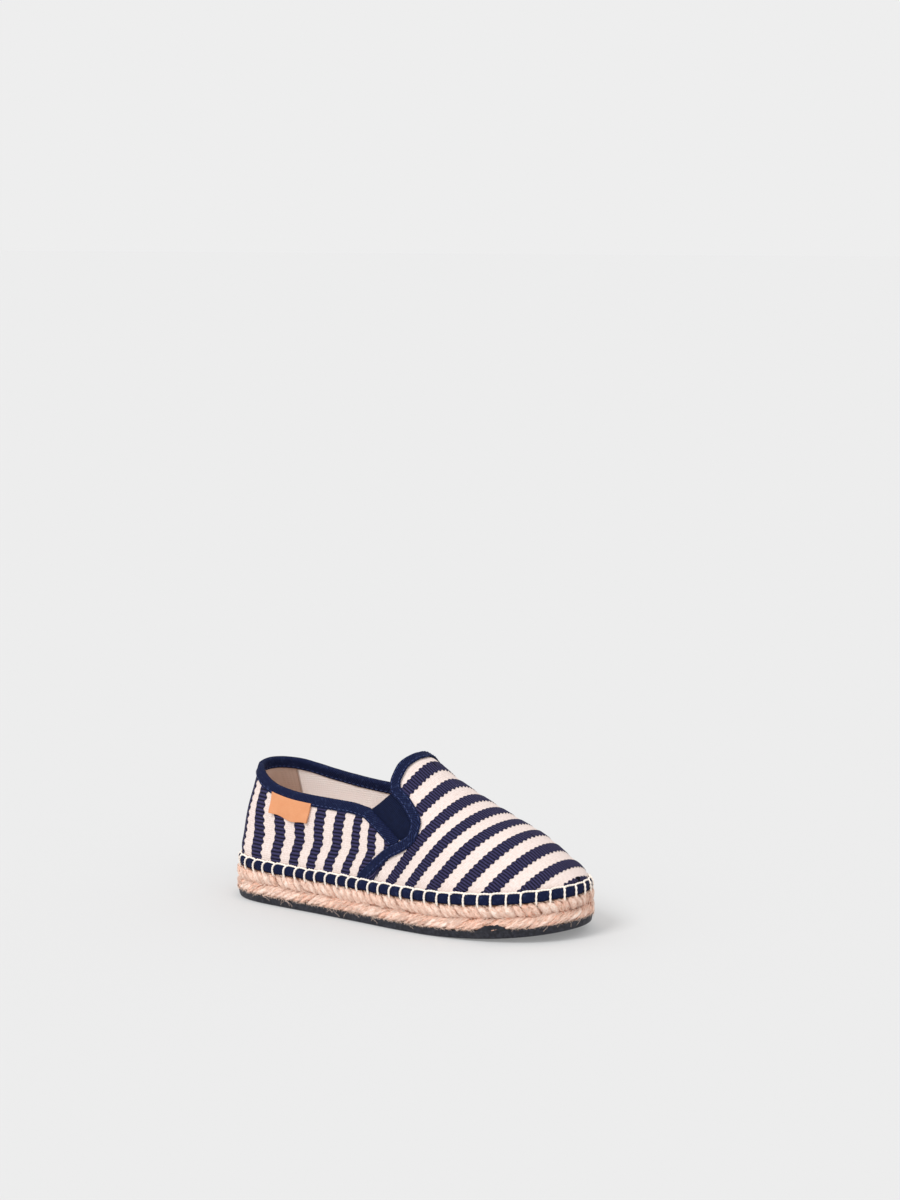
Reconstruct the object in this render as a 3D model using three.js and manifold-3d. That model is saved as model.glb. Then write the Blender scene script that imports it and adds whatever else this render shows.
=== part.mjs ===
// An espadrille for a child's right foot, empty and standing on its sole.
// Millimetres: +X points to the toe, +Y to the inner side of the foot, +Z up.
// The origin is on the floor, under the middle of the shoe's own box.
import * as THREE from "three";
import { mergeVertices } from "three/addons/utils/BufferGeometryUtils.js";
import Module from "manifold-3d";

const wasm = await Module();
wasm.setup();

// Sole: plan sizes
const soleLength = 205;
const ballWidth = 80;
const heelWidth = 61;
const toeSwing = 7; // the toe lies this far to the inner side of the heel's line
const toeSpring = 5.2; // lift of the sole's tip over the floor
const springStart = 0.66; // share of the length where that lift begins

// Sole: heights
const outsoleHeight = 3.4;
const outsoleInset = 1; // rubber's edge to the jute's widest line
const outsoleBevel = 0.9;
const juteHeight = 13.2;
const juteRows = 2; // rows of braid that show on the side
const rowBulge = 1.3;
const strands = 42; // slanting strands in a row, all round the sole
const strandRelief = 0.5;

// Upper: wall and edges
const wall = 1.8; // canvas and its lining
const clearance = 0.3; // between two pieces that meet
const insoleHeight = 2.4;
const insoleMargin = 0.4; // insole's edge to the lining
const bandHeight = 5.5;
const bandThickness = 2.2;
const tapeThickness = 0.8;
const collarTapeWidth = 5.4;
const vampTapeWidth = 5;
const goreThickness = 1.0;
const tagHeight = 9.3;
const tagThickness = 1.3;

// Upper: heights over the jute's top
const tongueRise = 66.8;
const collarBackRise = 54.1;
const collarSideRise = 43;
const heelLean = 7; // the back line leans forward by this much at the collar
const sideLean = 3.2; // the side walls lean in by this much at the collar

// Side lines of the sole, heel to toe. at: share of soleLength. outer, inner: 0 is half the
// heel's width and 1 half the ball's. swing: share of toeSwing.
const sideLineRows = [
  { at: 0.0, outer: 0.0, inner: 0.0, swing: 0.0 },
  { at: 0.15, outer: 0.02, inner: 0.0, swing: 0.0 },
  { at: 0.3, outer: 0.14, inner: -0.12, swing: 0.02 },
  { at: 0.45, outer: 0.46, inner: 0.08, swing: 0.16 },
  { at: 0.6, outer: 0.86, inner: 0.62, swing: 0.38 },
  { at: 0.7, outer: 1.0, inner: 0.94, swing: 0.54 },
  { at: 0.8, outer: 0.98, inner: 1.0, swing: 0.7 },
  { at: 0.9, outer: 0.9, inner: 0.94, swing: 0.86 },
  { at: 1.0, outer: 0.8, inner: 0.84, swing: 1.0 },
];
const soleToePower = 4.4; // a higher power makes a squarer end
const soleHeelPower = 8.6;

// Level slices of the upper. rise: share of tongueRise. front: where the slice meets the
// ridge, a share of the way from heel to toe. back: share of heelLean. lean: share of sideLean.
const sliceRows = [
  { rise: 0.0, front: 1.0, back: 0.0, lean: 0.0, toePower: 4.4, heelPower: 8.6 },
  { rise: 0.085, front: 1.0, back: -0.08, lean: -0.1, toePower: 4.3, heelPower: 8.5 },
  { rise: 0.15, front: 0.985, back: -0.1, lean: -0.1, toePower: 4.1, heelPower: 8.2 },
  { rise: 0.26, front: 0.945, back: 0.0, lean: 0.05, toePower: 3.5, heelPower: 7.6 },
  { rise: 0.41, front: 0.878, back: 0.22, lean: 0.3, toePower: 2.9, heelPower: 6.8 },
  { rise: 0.49, front: 0.825, back: 0.4, lean: 0.5, toePower: 2.7, heelPower: 6.3 },
  { rise: 0.6, front: 0.748, back: 0.7, lean: 0.9, toePower: 2.45, heelPower: 5.6 },
  { rise: 0.7, front: 0.683, back: 0.95, lean: 1.3, toePower: 2.3, heelPower: 5.0 },
  { rise: 0.79, front: 0.632, back: 1.15, lean: 1.8, toePower: 2.2, heelPower: 4.5 },
  { rise: 0.87, front: 0.595, back: 1.3, lean: 2.3, toePower: 2.1, heelPower: 4.2 },
  { rise: 0.94, front: 0.563, back: 1.45, lean: 2.8, toePower: 2.0, heelPower: 4.0 },
  { rise: 1.0, front: 0.515, back: 1.6, lean: 3.2, toePower: 2.0, heelPower: 4.0 },
  { rise: 1.05, front: 0.45, back: 1.7, lean: 3.4, toePower: 2.0, heelPower: 4.0 },
];

// Collar line from the back to the gore. at: share of soleLength. outer, inner: the rise on
// that side of the foot, 0 at collarSideRise and 1 at collarBackRise.
const collarRows = [
  { at: -0.05, outer: 1.0, inner: 1.0 },
  { at: 0.04, outer: 1.0, inner: 1.0 },
  { at: 0.085, outer: 0.82, inner: 0.87 },
  { at: 0.142, outer: 0.4, inner: 0.6 },
  { at: 0.182, outer: 0.2, inner: 0.43 },
  { at: 0.252, outer: 0.04, inner: 0.26 },
  { at: 0.32, outer: 0.0, inner: 0.14 },
  { at: 0.417, outer: -0.01, inner: -0.02 },
  { at: 0.487, outer: -0.16, inner: -0.16 },
];
const tagFrom = 0.163; // shares of soleLength
const tagTo = 0.297;

// The elastic gore and the vamp's edge seen from the side. at: share of soleLength.
// rise: share of tongueRise.
const tongueRows = [
  { at: 0.527, rise: 0.752 },
  { at: 0.516, rise: 0.85 },
  { at: 0.516, rise: 0.92 },
  { at: 0.522, rise: 0.99 },
  { at: 0.53, rise: 1.05 },
];
const vampEdgeRows = [
  { at: 0.527, rise: 0.752 },
  { at: 0.561, rise: 0.678 },
  { at: 0.592, rise: 0.594 },
  { at: 0.608, rise: 0.535 },
  { at: 0.609, rise: 0.479 },
  { at: 0.596, rise: 0.431 },
  { at: 0.548, rise: 0.343 },
  { at: 0.522, rise: 0.27 },
  { at: 0.498, rise: 0.19 },
  { at: 0.486, rise: 0.148 },
];
const rowsAlongGore = 6; // of vampEdgeRows, from the top
const quarterEdgeRows = [
  { at: 0.487, rise: 0.608 },
  { at: 0.534, rise: 0.521 },
  { at: 0.575, rise: 0.437 },
  { at: 0.584, rise: 0.42 },
];

// Stations
const aroundUpper = 78;
const aroundBand = 78;
const stationsPerStrand = 3;
const stepsPerRow = 4; // up each row of braid
const upperLevels = 12;
const levelPower = 1.35; // above 1 the levels crowd towards the top edge
const stepsPerEdge = 18; // along one side of the vamp's edge
const stepsPerGore = 6;
const stepsOverTongue = 22;
const stepsRoundHeel = 30;
const stepsAlongTag = 8;
const stepsMeasured = 800; // for the length of one side of the sole
const shortEdge = 0.01; // what a cut leaves shorter than this is merged

const featherLevel = outsoleHeight + clearance + juteHeight;
const upperInset = bandThickness + 2 * clearance; // jute's edge to the upper's outer face
const foldDepth = tapeThickness + clearance; // finished edge to the canvas inside the fold

// A smooth curve through one column of a table, with no overshoot between its rows.
function column(rows, across, key) {
  const x = rows.map((row) => row[across]);
  const y = rows.map((row) => row[key]);
  const last = x.length - 1;
  const step = (i) => (y[i + 1] - y[i]) / (x[i + 1] - x[i]);
  const slope = y.map((_, i) => {
    if (i === 0) return step(0);
    if (i === last) return step(last - 1);
    const before = step(i - 1);
    const after = step(i);
    return before * after <= 0 ? 0 : (2 * before * after) / (before + after);
  });
  return (at) => {
    if (at <= x[0]) return y[0] + slope[0] * (at - x[0]);
    if (at >= x[last]) return y[last] + slope[last] * (at - x[last]);
    const i = x.findIndex((value, k) => k < last && at < x[k + 1]);
    const width = x[i + 1] - x[i];
    const t = (at - x[i]) / width;
    const rest = 1 - t;
    return (
      y[i] * (1 + 2 * t) * rest * rest +
      slope[i] * width * t * rest * rest +
      y[i + 1] * t * t * (3 - 2 * t) -
      slope[i + 1] * width * t * t * rest
    );
  };
}

const outerSpread = column(sideLineRows, "at", "outer");
const innerSpread = column(sideLineRows, "at", "inner");
const swingShare = column(sideLineRows, "at", "swing");
const slice = Object.fromEntries(
  ["front", "back", "lean", "toePower", "heelPower"].map((key) => [key, column(sliceRows, "rise", key)]),
);
const collarOuter = column(collarRows, "at", "outer");
const collarInner = column(collarRows, "at", "inner");
const tongueAt = column(tongueRows, "rise", "at");

const tongueTop = tongueRows[tongueRows.length - 1].rise;

// How far the sole's parts are lifted over their flat level at x.
function lift(x) {
  const t = Math.max(0, (x / soleLength - springStart) / (1 - springStart));
  return toeSpring * t * t;
}

// Half the width at x before the ends are rounded, towards the outer or the inner side.
function halfWidth(x, outerSide) {
  const spread = outerSide ? outerSpread(x / soleLength) : innerSpread(x / soleLength);
  return (heelWidth + (ballWidth - heelWidth) * spread) / 2;
}

const onOuterSide = (turn) => (turn + 2) % 2 <= 1;

// A point of a closed outline. turn runs from 0 at the heel, by the outer side, to 1 at the
// toe, and by the inner side to 2.
function outlinePoint(turn, back, front, inset, toePower, heelPower) {
  const along = -Math.cos(Math.PI * turn);
  const outerSide = onOuterSide(turn);
  const x = back + ((front - back) * (1 + along)) / 2;
  const power = along > 0 ? toePower : heelPower;
  const round = Math.sqrt(Math.max(0, 1 - Math.abs(along) ** power));
  const y = (halfWidth(x, outerSide) - inset) * round * (outerSide ? -1 : 1);
  return new THREE.Vector3(x, y + toeSwing * swingShare(x / soleLength), 0);
}

// The sole's edge, moved out by outset.
function soleEdge(turn, outset) {
  const at = (t) => outlinePoint(t, 0, soleLength, 0, soleToePower, soleHeelPower);
  const small = 1e-3;
  const along = at(turn + small).sub(at(turn - small)).normalize();
  return at(turn).add(new THREE.Vector3(along.y, -along.x, 0).multiplyScalar(outset));
}

// The upper's outer face. rise is the height over the jute's top.
function facePoint(turn, rise) {
  const share = rise / tongueRise;
  const back = upperInset + heelLean * slice.back(share);
  const front = upperInset + (soleLength - 2 * upperInset) * slice.front(share);
  const inset = upperInset + sideLean * slice.lean(share);
  const point = outlinePoint(turn, back, front, inset, slice.toePower(share), slice.heelPower(share));
  point.z = featherLevel + rise + lift(point.x);
  return point;
}

function faceDerivatives(turn, rise) {
  const small = 1e-3;
  const step = 0.02;
  return {
    byTurn: facePoint(turn + small, rise).sub(facePoint(turn - small, rise)).divideScalar(2 * small),
    byRise: facePoint(turn, rise + step).sub(facePoint(turn, rise - step)).divideScalar(2 * step),
  };
}

function faceNormal(turn, rise) {
  const { byTurn, byRise } = faceDerivatives(turn, rise);
  return byTurn.cross(byRise).normalize();
}

// A point over the face (out positive) or inside it.
function offFace(turn, rise, out) {
  return facePoint(turn, rise).addScaledVector(faceNormal(turn, rise), out);
}

// The place (turn, rise) on the face nearest to a point, from a place close to it.
function nearestOnFace(point, start) {
  let { turn, rise } = start;
  for (let i = 0; i < 6; i += 1) {
    const miss = point.clone().sub(facePoint(turn, rise));
    const { byTurn, byRise } = faceDerivatives(turn, rise);
    const tt = byTurn.dot(byTurn);
    const tr = byTurn.dot(byRise);
    const rr = byRise.dot(byRise);
    const mt = miss.dot(byTurn);
    const mr = miss.dot(byRise);
    const size = tt * rr - tr * tr;
    turn += (mt * rr - mr * tr) / size;
    rise += (mr * tt - mt * tr) / size;
  }
  return { turn, rise };
}

// The turn at which the face has that x, at that rise, on the outer side.
function turnAt(x, rise) {
  const share = rise / tongueRise;
  const back = upperInset + heelLean * slice.back(share);
  const front = upperInset + (soleLength - 2 * upperInset) * slice.front(share);
  const along = Math.min(1, Math.max(-1, (2 * (x - back)) / (front - back) - 1));
  return Math.acos(-along) / Math.PI;
}

function collarRise(at, outerSide) {
  const share = outerSide ? collarOuter(at) : collarInner(at);
  return collarSideRise + (collarBackRise - collarSideRise) * share;
}

// Whether a side-view place lies under the finished top edge: collar, gore's free edge, tongue.
function underEdge(at, share, outerSide) {
  const [rear, front] = [quarterEdgeRows[0], vampEdgeRows[0]];
  if (at < rear.at) return share * tongueRise < collarRise(at, outerSide);
  const goreShare = rear.rise + ((front.rise - rear.rise) * (at - rear.at)) / (front.at - rear.at);
  return share < Math.min(goreShare, front.rise) || (share < tongueTop && at > tongueAt(share));
}

// The rise at which the line of that turn meets the top edge.
function topEdgeOn(turn) {
  let low = bandHeight;
  let high = tongueRise * tongueTop;
  for (let i = 0; i < 30; i += 1) {
    const middle = (low + high) / 2;
    const at = facePoint(turn, middle).x / soleLength;
    if (underEdge(at, middle / tongueRise, onOuterSide(turn))) low = middle;
    else high = middle;
  }
  return (low + high) / 2;
}

// A row of a side-view table as a place on the face.
function sidePlace(row, innerSide) {
  const rise = row.rise * tongueRise;
  const turn = turnAt(row.at * soleLength, rise);
  return { turn: innerSide ? 2 - turn : turn, rise };
}

// Places along a smooth curve through side-view rows.
function sideCurve(rows, count, innerSide) {
  const curve = new THREE.CatmullRomCurve3(rows.map((row) => new THREE.Vector3(row.at, row.rise, 0)));
  return curve.getSpacedPoints(count).map((p) => sidePlace({ at: p.x, rise: p.y }, innerSide));
}

function solidOf(positions, triangles) {
  const flat = new THREE.BufferGeometry();
  flat.setAttribute("position", new THREE.Float32BufferAttribute(positions.flatMap((p) => [p.x, p.y, p.z]), 3));
  flat.setIndex(triangles.flat());
  const merged = mergeVertices(flat, 1e-4);
  const triVerts = new Uint32Array(merged.index.array);
  const vertProperties = merged.attributes.position.array;
  const made = new wasm.Manifold(new wasm.Mesh({ numProp: 3, vertProperties, triVerts }));
  if (made.volume() > 0) return made;
  for (let i = 0; i < triVerts.length; i += 3) {
    [triVerts[i + 1], triVerts[i + 2]] = [triVerts[i + 2], triVerts[i + 1]];
  }
  return new wasm.Manifold(new wasm.Mesh({ numProp: 3, vertProperties, triVerts }));
}

// A closed solid through rings of points. Where the rings don't join up, the end rings are
// capped as the flat profile says.
function sweep(rings, joined, profile) {
  const count = rings[0].length;
  const triangles = [];
  const gaps = joined ? rings.length : rings.length - 1;
  for (let i = 0; i < gaps; i += 1) {
    const here = i * count;
    const next = ((i + 1) % rings.length) * count;
    for (let j = 0; j < count; j += 1) {
      const k = (j + 1) % count;
      triangles.push([here + j, here + k, next + k], [here + j, next + k, next + j]);
    }
  }
  if (!joined) {
    const end = (rings.length - 1) * count;
    const outline = profile.map(([across, out]) => new THREE.Vector2(across, out));
    for (const [a, b, c] of THREE.ShapeUtils.triangulateShape(outline, [])) {
      triangles.push([a, c, b], [end + a, end + b, end + c]);
    }
  }
  return solidOf(rings.flat(), triangles);
}

// A solid through level outlines, closed below and above by strips from side to side.
function stack(levels) {
  const count = levels[0].length;
  const triangles = [];
  for (let i = 0; i + 1 < levels.length; i += 1) {
    for (let j = 0; j < count; j += 1) {
      const k = (j + 1) % count;
      const here = i * count;
      const next = here + count;
      triangles.push([here + j, here + k, next + k], [here + j, next + k, next + j]);
    }
  }
  const top = (levels.length - 1) * count;
  for (let j = 0; j < count / 2; j += 1) {
    const across = [j, j + 1, count - j - 1, (count - j) % count];
    const [a, b, c, d] = across;
    triangles.push([a, c, b], [top + a, top + b, top + c]);
    triangles.push([a, d, c], [top + a, top + c, top + d]);
  }
  const real = triangles.filter(([a, b, c]) => a !== b && b !== c && a !== c);
  return solidOf(levels.flat(), real);
}

// Turns spread evenly over the closed outline.
const turnsAround = (count) => Array.from({ length: count }, (_, i) => (2 * i) / count);

// A strip laid along a path of places on the face. profile: [across, out] pairs, where
// across runs from the path into the cloth and out runs away from the face.
function tape(path, profile, intoCloth) {
  const points = path.map((place) => facePoint(place.turn, place.rise));
  const rings = path.map((place, i) => {
    const before = points[Math.max(0, i - 1)];
    const after = points[Math.min(points.length - 1, i + 1)];
    const along = after.clone().sub(before).normalize();
    const across = faceNormal(place.turn, place.rise).cross(along).multiplyScalar(intoCloth);
    return profile.map(([distance, out]) => {
      const target = points[i].clone().addScaledVector(across, distance);
      const there = nearestOnFace(target, place);
      return offFace(there.turn, there.rise, out);
    });
  });
  return sweep(rings, false, profile);
}

// Profiles across a binding: a flat leaf on the face, and a fold round the canvas's edge.
const leafProfile = (width) => [
  [0, clearance],
  [width, clearance],
  [width, clearance + tapeThickness * 0.6],
  [width - tapeThickness, clearance + tapeThickness],
  [tapeThickness * 0.5, clearance + tapeThickness],
  [0, clearance + tapeThickness * 0.6],
];
const foldProfile = (width) => {
  const outside = clearance + tapeThickness;
  const inside = -wall - clearance - tapeThickness;
  return [
    [width, clearance],
    [width, clearance + tapeThickness * 0.6],
    [width - tapeThickness, outside],
    [tapeThickness * 1.2, outside],
    [tapeThickness * 0.3, clearance],
    [0, -wall / 2],
    [tapeThickness * 0.3, -wall - clearance],
    [tapeThickness * 1.2, inside],
    [width - tapeThickness, inside],
    [width, -wall - clearance],
    [tapeThickness, -wall - clearance],
    [tapeThickness, clearance],
  ];
};

// A block seen from the side as an outline of [x, z] points, on one side of the shoe.
function sideBlock(outline, innerSide) {
  const shape = new THREE.Shape(outline.map(([x, z]) => new THREE.Vector2(x, z)));
  const geometry = new THREE.ExtrudeGeometry(shape, { depth: ballWidth, bevelEnabled: false });
  geometry.rotateX(Math.PI / 2);
  if (innerSide) geometry.translate(0, ballWidth, 0);
  geometry.deleteAttribute("normal");
  geometry.deleteAttribute("uv");
  const merged = mergeVertices(geometry, 1e-4);
  const triVerts = new Uint32Array(merged.index.array);
  const vertProperties = merged.attributes.position.array;
  return new wasm.Manifold(new wasm.Mesh({ numProp: 3, vertProperties, triVerts }));
}

// The gore's opening from the side, between the vamp's edge and the quarter's edge, grown
// by margin, as [x, z] points.
function goreOutline(margin) {
  const onSide = (place) => {
    const point = offFace(place.turn, place.rise, -wall / 2);
    return [point.x, point.z];
  };
  const vampSide = sideCurve(vampEdgeRows.slice(0, rowsAlongGore), stepsPerEdge / 2, false).map(onSide);
  const quarterSide = sideCurve(quarterEdgeRows, stepsPerGore, false).map(onSide);
  const grow = (points, towards) =>
    points.map(([x, z], i) => {
      const [x0, z0] = points[Math.max(0, i - 1)];
      const [x1, z1] = points[Math.min(points.length - 1, i + 1)];
      const size = Math.hypot(x1 - x0, z1 - z0);
      return [x + (towards * margin * (z0 - z1)) / size, z + (towards * margin * (x1 - x0)) / size];
    });
  const vampEdge = grow(vampSide, 1);
  const quarterEdge = grow(quarterSide, -1);
  const above = 12; // the block passes the top edge by this much
  const [frontX, frontZ] = vampEdge[0];
  const [rearX, rearZ] = quarterEdge[0];
  const behindTongue = [frontX - above / 2, frontZ + above];
  return [[rearX - above, rearZ + above], ...quarterEdge, ...vampEdge.reverse(), behindTongue];
}

// A layer of the upper between two depths, from low to the finished edge less edgeInset.
function layer(outer, inner, edgeInset) {
  const rings = turnsAround(aroundUpper).map((turn) => {
    const edge = topEdgeOn(turn);
    const steepness = faceDerivatives(turn, edge).byRise.length();
    const top = edge - edgeInset / steepness;
    const rises = Array.from({ length: upperLevels }, (_, i) => {
      const left = 1 - i / (upperLevels - 1);
      return top - (top - clearance) * left ** levelPower;
    });
    const up = rises.map((rise) => offFace(turn, rise, outer));
    const down = rises.map((rise) => offFace(turn, rise, inner)).reverse();
    return [...up, ...down];
  });
  return sweep(rings, true);
}

// What the folded bindings take away from the canvas along a finished edge.
function edgeCut(path, intoCloth) {
  const past = 2.5; // the cutter stands this far over both faces
  const looseness = 0.15; // for the facets of the two pieces
  const profile = [
    [-past, -wall - past],
    [foldDepth + looseness, -wall - past],
    [foldDepth + looseness, past],
    [-past, past],
  ];
  return tape(path, profile, intoCloth);
}

function upper() {
  const opening = goreOutline(foldDepth);
  return layer(0, -wall, foldDepth / 2)
    .subtract(sideBlock(opening, false))
    .subtract(sideBlock(opening, true))
    .subtract(edgeCut(foldedPath(1), -1))
    .subtract(edgeCut(collarPath(), 1));
}

function gore(innerSide) {
  const outer = -(wall - goreThickness) / 2;
  const block = sideBlock(goreOutline(-clearance), innerSide);
  return largest(layer(outer, outer - goreThickness, 0).intersect(block));
}

// The vamp's edge from the outer foot, up the gore, over the tongue and down to the inner foot.
function vampPath() {
  const outer = sideCurve([...vampEdgeRows].reverse(), stepsPerEdge, false);
  const inner = sideCurve(vampEdgeRows, stepsPerEdge, true);
  const startTurn = outer[outer.length - 1].turn;
  const overTongue = Array.from({ length: stepsOverTongue - 1 }, (_, i) => {
    const turn = startTurn + ((2 - 2 * startTurn) * (i + 1)) / stepsOverTongue;
    return { turn, rise: topEdgeOn(turn) };
  });
  return [...outer, ...overTongue, ...inner];
}

// The part of that edge that runs free, over the gores and the tongue, longer by some stations.
function foldedPath(longer) {
  const path = vampPath();
  const goreFoot = quarterEdgeRows[quarterEdgeRows.length - 1].rise * tongueRise + foldDepth;
  const above = path.findIndex((place) => place.rise > goreFoot) - longer;
  return path.slice(above, path.length - above);
}

function vampBinding() {
  const path = vampPath();
  const folded = foldedPath(0);
  const strip = (path.length - folded.length) / 2 + 2;
  return tape(folded, foldProfile(vampTapeWidth), -1)
    .add(tape(path.slice(0, strip), leafProfile(vampTapeWidth), -1))
    .add(tape(path.slice(-strip), leafProfile(vampTapeWidth), -1));
}

// The collar's edge from the outer gore round the heel to the inner gore, with both gores' rear edges.
function collarPath() {
  const outer = sideCurve([...quarterEdgeRows].reverse(), stepsPerGore, false);
  const inner = sideCurve(quarterEdgeRows, stepsPerGore, true);
  const startTurn = outer[outer.length - 1].turn;
  const roundHeel = Array.from({ length: stepsRoundHeel - 1 }, (_, i) => {
    const turn = startTurn - (2 * startTurn * (i + 1)) / stepsRoundHeel;
    return { turn, rise: topEdgeOn(turn) };
  });
  return [...outer, ...roundHeel, ...inner.map(({ turn, rise }) => ({ turn: turn - 2, rise }))];
}

// The piece of a cut solid that is worth keeping.
function largest(solid) {
  return solid.decompose().sort((one, other) => other.volume() - one.volume())[0];
}

function collarBinding() {
  const past = 3; // the cutting strip stands this far over the tape on both sides
  const cutter = [
    [-clearance, -wall - past],
    [vampTapeWidth + clearance, -wall - past],
    [vampTapeWidth + clearance, past],
    [-clearance, past],
  ];
  const cut = tape(vampPath(), cutter, -1);
  return largest(tape(collarPath(), foldProfile(collarTapeWidth), 1).subtract(cut));
}

// The tag hangs plumb from the collar tape's lower edge.
function leatherTag() {
  const small = 0.005;
  const face = clearance + tagThickness;
  const profile = [
    [0, clearance],
    [tagHeight / 2, clearance],
    [tagHeight, clearance],
    [tagHeight, face],
    [tagHeight / 2, face],
    [0, face],
  ];
  const rings = Array.from({ length: stepsAlongTag + 1 }, (_, i) => {
    const at = tagTo + ((tagFrom - tagTo) * i) / stepsAlongTag;
    const slope = (collarRise(at + small, true) - collarRise(at - small, true)) / (2 * small * soleLength);
    const top = collarRise(at, true) - (collarTapeWidth + clearance) * Math.hypot(1, slope);
    return profile.map(([down, out]) => {
      const place = sidePlace({ at, rise: (top - down) / tongueRise }, false);
      return offFace(place.turn, place.rise, out);
    });
  });
  return sweep(rings, false, profile);
}

// Turns spread by length along the sole's edge, the same on both sides.
function turnsAlongSole(count) {
  const fine = Array.from({ length: stepsMeasured + 1 }, (_, i) => i / stepsMeasured);
  const points = fine.map((turn) => soleEdge(turn, 0));
  const travelled = [0];
  for (let i = 1; i < points.length; i += 1) {
    travelled.push(travelled[i - 1] + points[i].distanceTo(points[i - 1]));
  }
  const total = travelled[travelled.length - 1];
  const half = Array.from({ length: count / 2 + 1 }, (_, i) => {
    const wanted = (2 * total * i) / count;
    const k = Math.max(1, travelled.findIndex((length) => length >= wanted));
    return fine[k - 1] + ((fine[k] - fine[k - 1]) * (wanted - travelled[k - 1])) / (travelled[k] - travelled[k - 1]);
  });
  half[count / 2] = 1;
  return [...half, ...half.slice(1, -1).reverse().map((turn) => 2 - turn)];
}

// A ring of the sole: outset(i) past its edge, at a height over the lifted floor.
function soleRing(turns, height, outset) {
  return turns.map((turn, i) => {
    const point = soleEdge(turn, outset(i));
    point.z = height + lift(point.x);
    return point;
  });
}

function outsole() {
  const turns = turnsAlongSole(aroundBand);
  const ring = (height, inset) => soleRing(turns, height, () => -inset);
  return stack([
    ring(0, outsoleInset + outsoleBevel),
    ring(outsoleBevel, outsoleInset),
    ring(outsoleHeight, outsoleInset),
  ]);
}

// Two rows of braid. Each strand slants up and down from its row's middle, as in a plait.
function juteSole() {
  const turns = turnsAlongSole(strands * stationsPerStrand);
  const rowHeight = juteHeight / juteRows;
  const rings = [];
  for (let row = 0; row < juteRows; row += 1) {
    for (let step = row === 0 ? 0 : 1; step <= stepsPerRow; step += 1) {
      const up = step / stepsPerRow;
      const bulge = Math.sin(Math.PI * up) ** 0.7;
      const slant = Math.abs(2 * up - 1) * (row % 2 === 0 ? 1 : -1);
      const outset = (i) => {
        const strand = Math.cos(2 * Math.PI * (i / stationsPerStrand + slant / 2));
        return -rowBulge * (1 - bulge) + strandRelief * bulge * (strand - 1) * 0.5;
      };
      rings.push(soleRing(turns, outsoleHeight + clearance + rowHeight * (row + up), outset));
    }
  }
  return stack(rings);
}

function insole() {
  const turns = turnsAround(aroundBand);
  const ring = (rise, out) => turns.map((turn) => offFace(turn, rise, out));
  const edge = -wall - insoleMargin;
  const high = clearance + insoleHeight;
  return stack([ring(clearance, edge), ring(high - 0.6, edge), ring(high, edge - 0.6)]);
}

// The band of tape sewn round the foot of the upper.
function weltBand() {
  const face = clearance + bandThickness;
  const low = clearance * 1.7;
  const profile = [
    [low, clearance],
    [low, face - 0.6],
    [bandHeight * 0.25, face],
    [bandHeight * 0.72, face],
    [bandHeight * 0.94, face - 0.7],
    [bandHeight, clearance + 0.5],
    [bandHeight, clearance],
  ];
  const rings = turnsAround(aroundBand).map((turn) => profile.map(([rise, out]) => offFace(turn, rise, out)));
  return sweep(rings, true);
}

const material = (color, roughness) => new THREE.MeshStandardMaterial({ color, roughness, metalness: 0 });
const navyTape = material(0x1b2148, 0.85);
const elastic = material(0x141a36, 0.9);

function piece(name, solid, finish) {
  const { vertProperties, triVerts, numProp } = solid.simplify(shortEdge).getMesh();
  const geometry = new THREE.BufferGeometry();
  const positions = new Float32Array((vertProperties.length / numProp) * 3);
  for (let i = 0; i < positions.length / 3; i += 1) {
    positions.set(vertProperties.subarray(i * numProp, i * numProp + 3), i * 3);
  }
  geometry.setAttribute("position", new THREE.BufferAttribute(positions, 3));
  geometry.setIndex(new THREE.BufferAttribute(triVerts, 1));
  geometry.computeVertexNormals();
  const mesh = new THREE.Mesh(geometry, finish);
  mesh.name = name;
  return mesh;
}

const shoe = new THREE.Group();
shoe.add(piece("outsole", outsole(), material(0x2a2a30, 0.7)));
shoe.add(piece("jute_sole", juteSole(), material(0xd8ab80, 1)));
shoe.add(piece("insole", insole(), material(0xd9c3ae, 0.95)));
shoe.add(piece("welt_band", weltBand(), navyTape));
shoe.add(piece("upper", upper(), material(0xf2e9e0, 0.9)));
shoe.add(piece("gore_outer", gore(false), elastic));
shoe.add(piece("gore_inner", gore(true), elastic));
shoe.add(piece("vamp_binding", vampBinding(), navyTape));
shoe.add(piece("collar_binding", collarBinding(), navyTape));
shoe.add(piece("leather_tag", leatherTag(), material(0xe3a06c, 0.6)));

const box = new THREE.Box3().setFromObject(shoe);
const middle = box.getCenter(new THREE.Vector3());
shoe.position.set(-middle.x, -middle.y, -box.min.z);
export default shoe;
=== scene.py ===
# Looks of the espadrille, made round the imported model. Run with Blender 4.5.
# Each piece is a flat pattern in millimetres that is then laid on the last, as a shoemaker does.
# Sizes are counted from the heel's back on the floor, and turned into metres in the model's frame.
import math
from functools import partial

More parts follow.
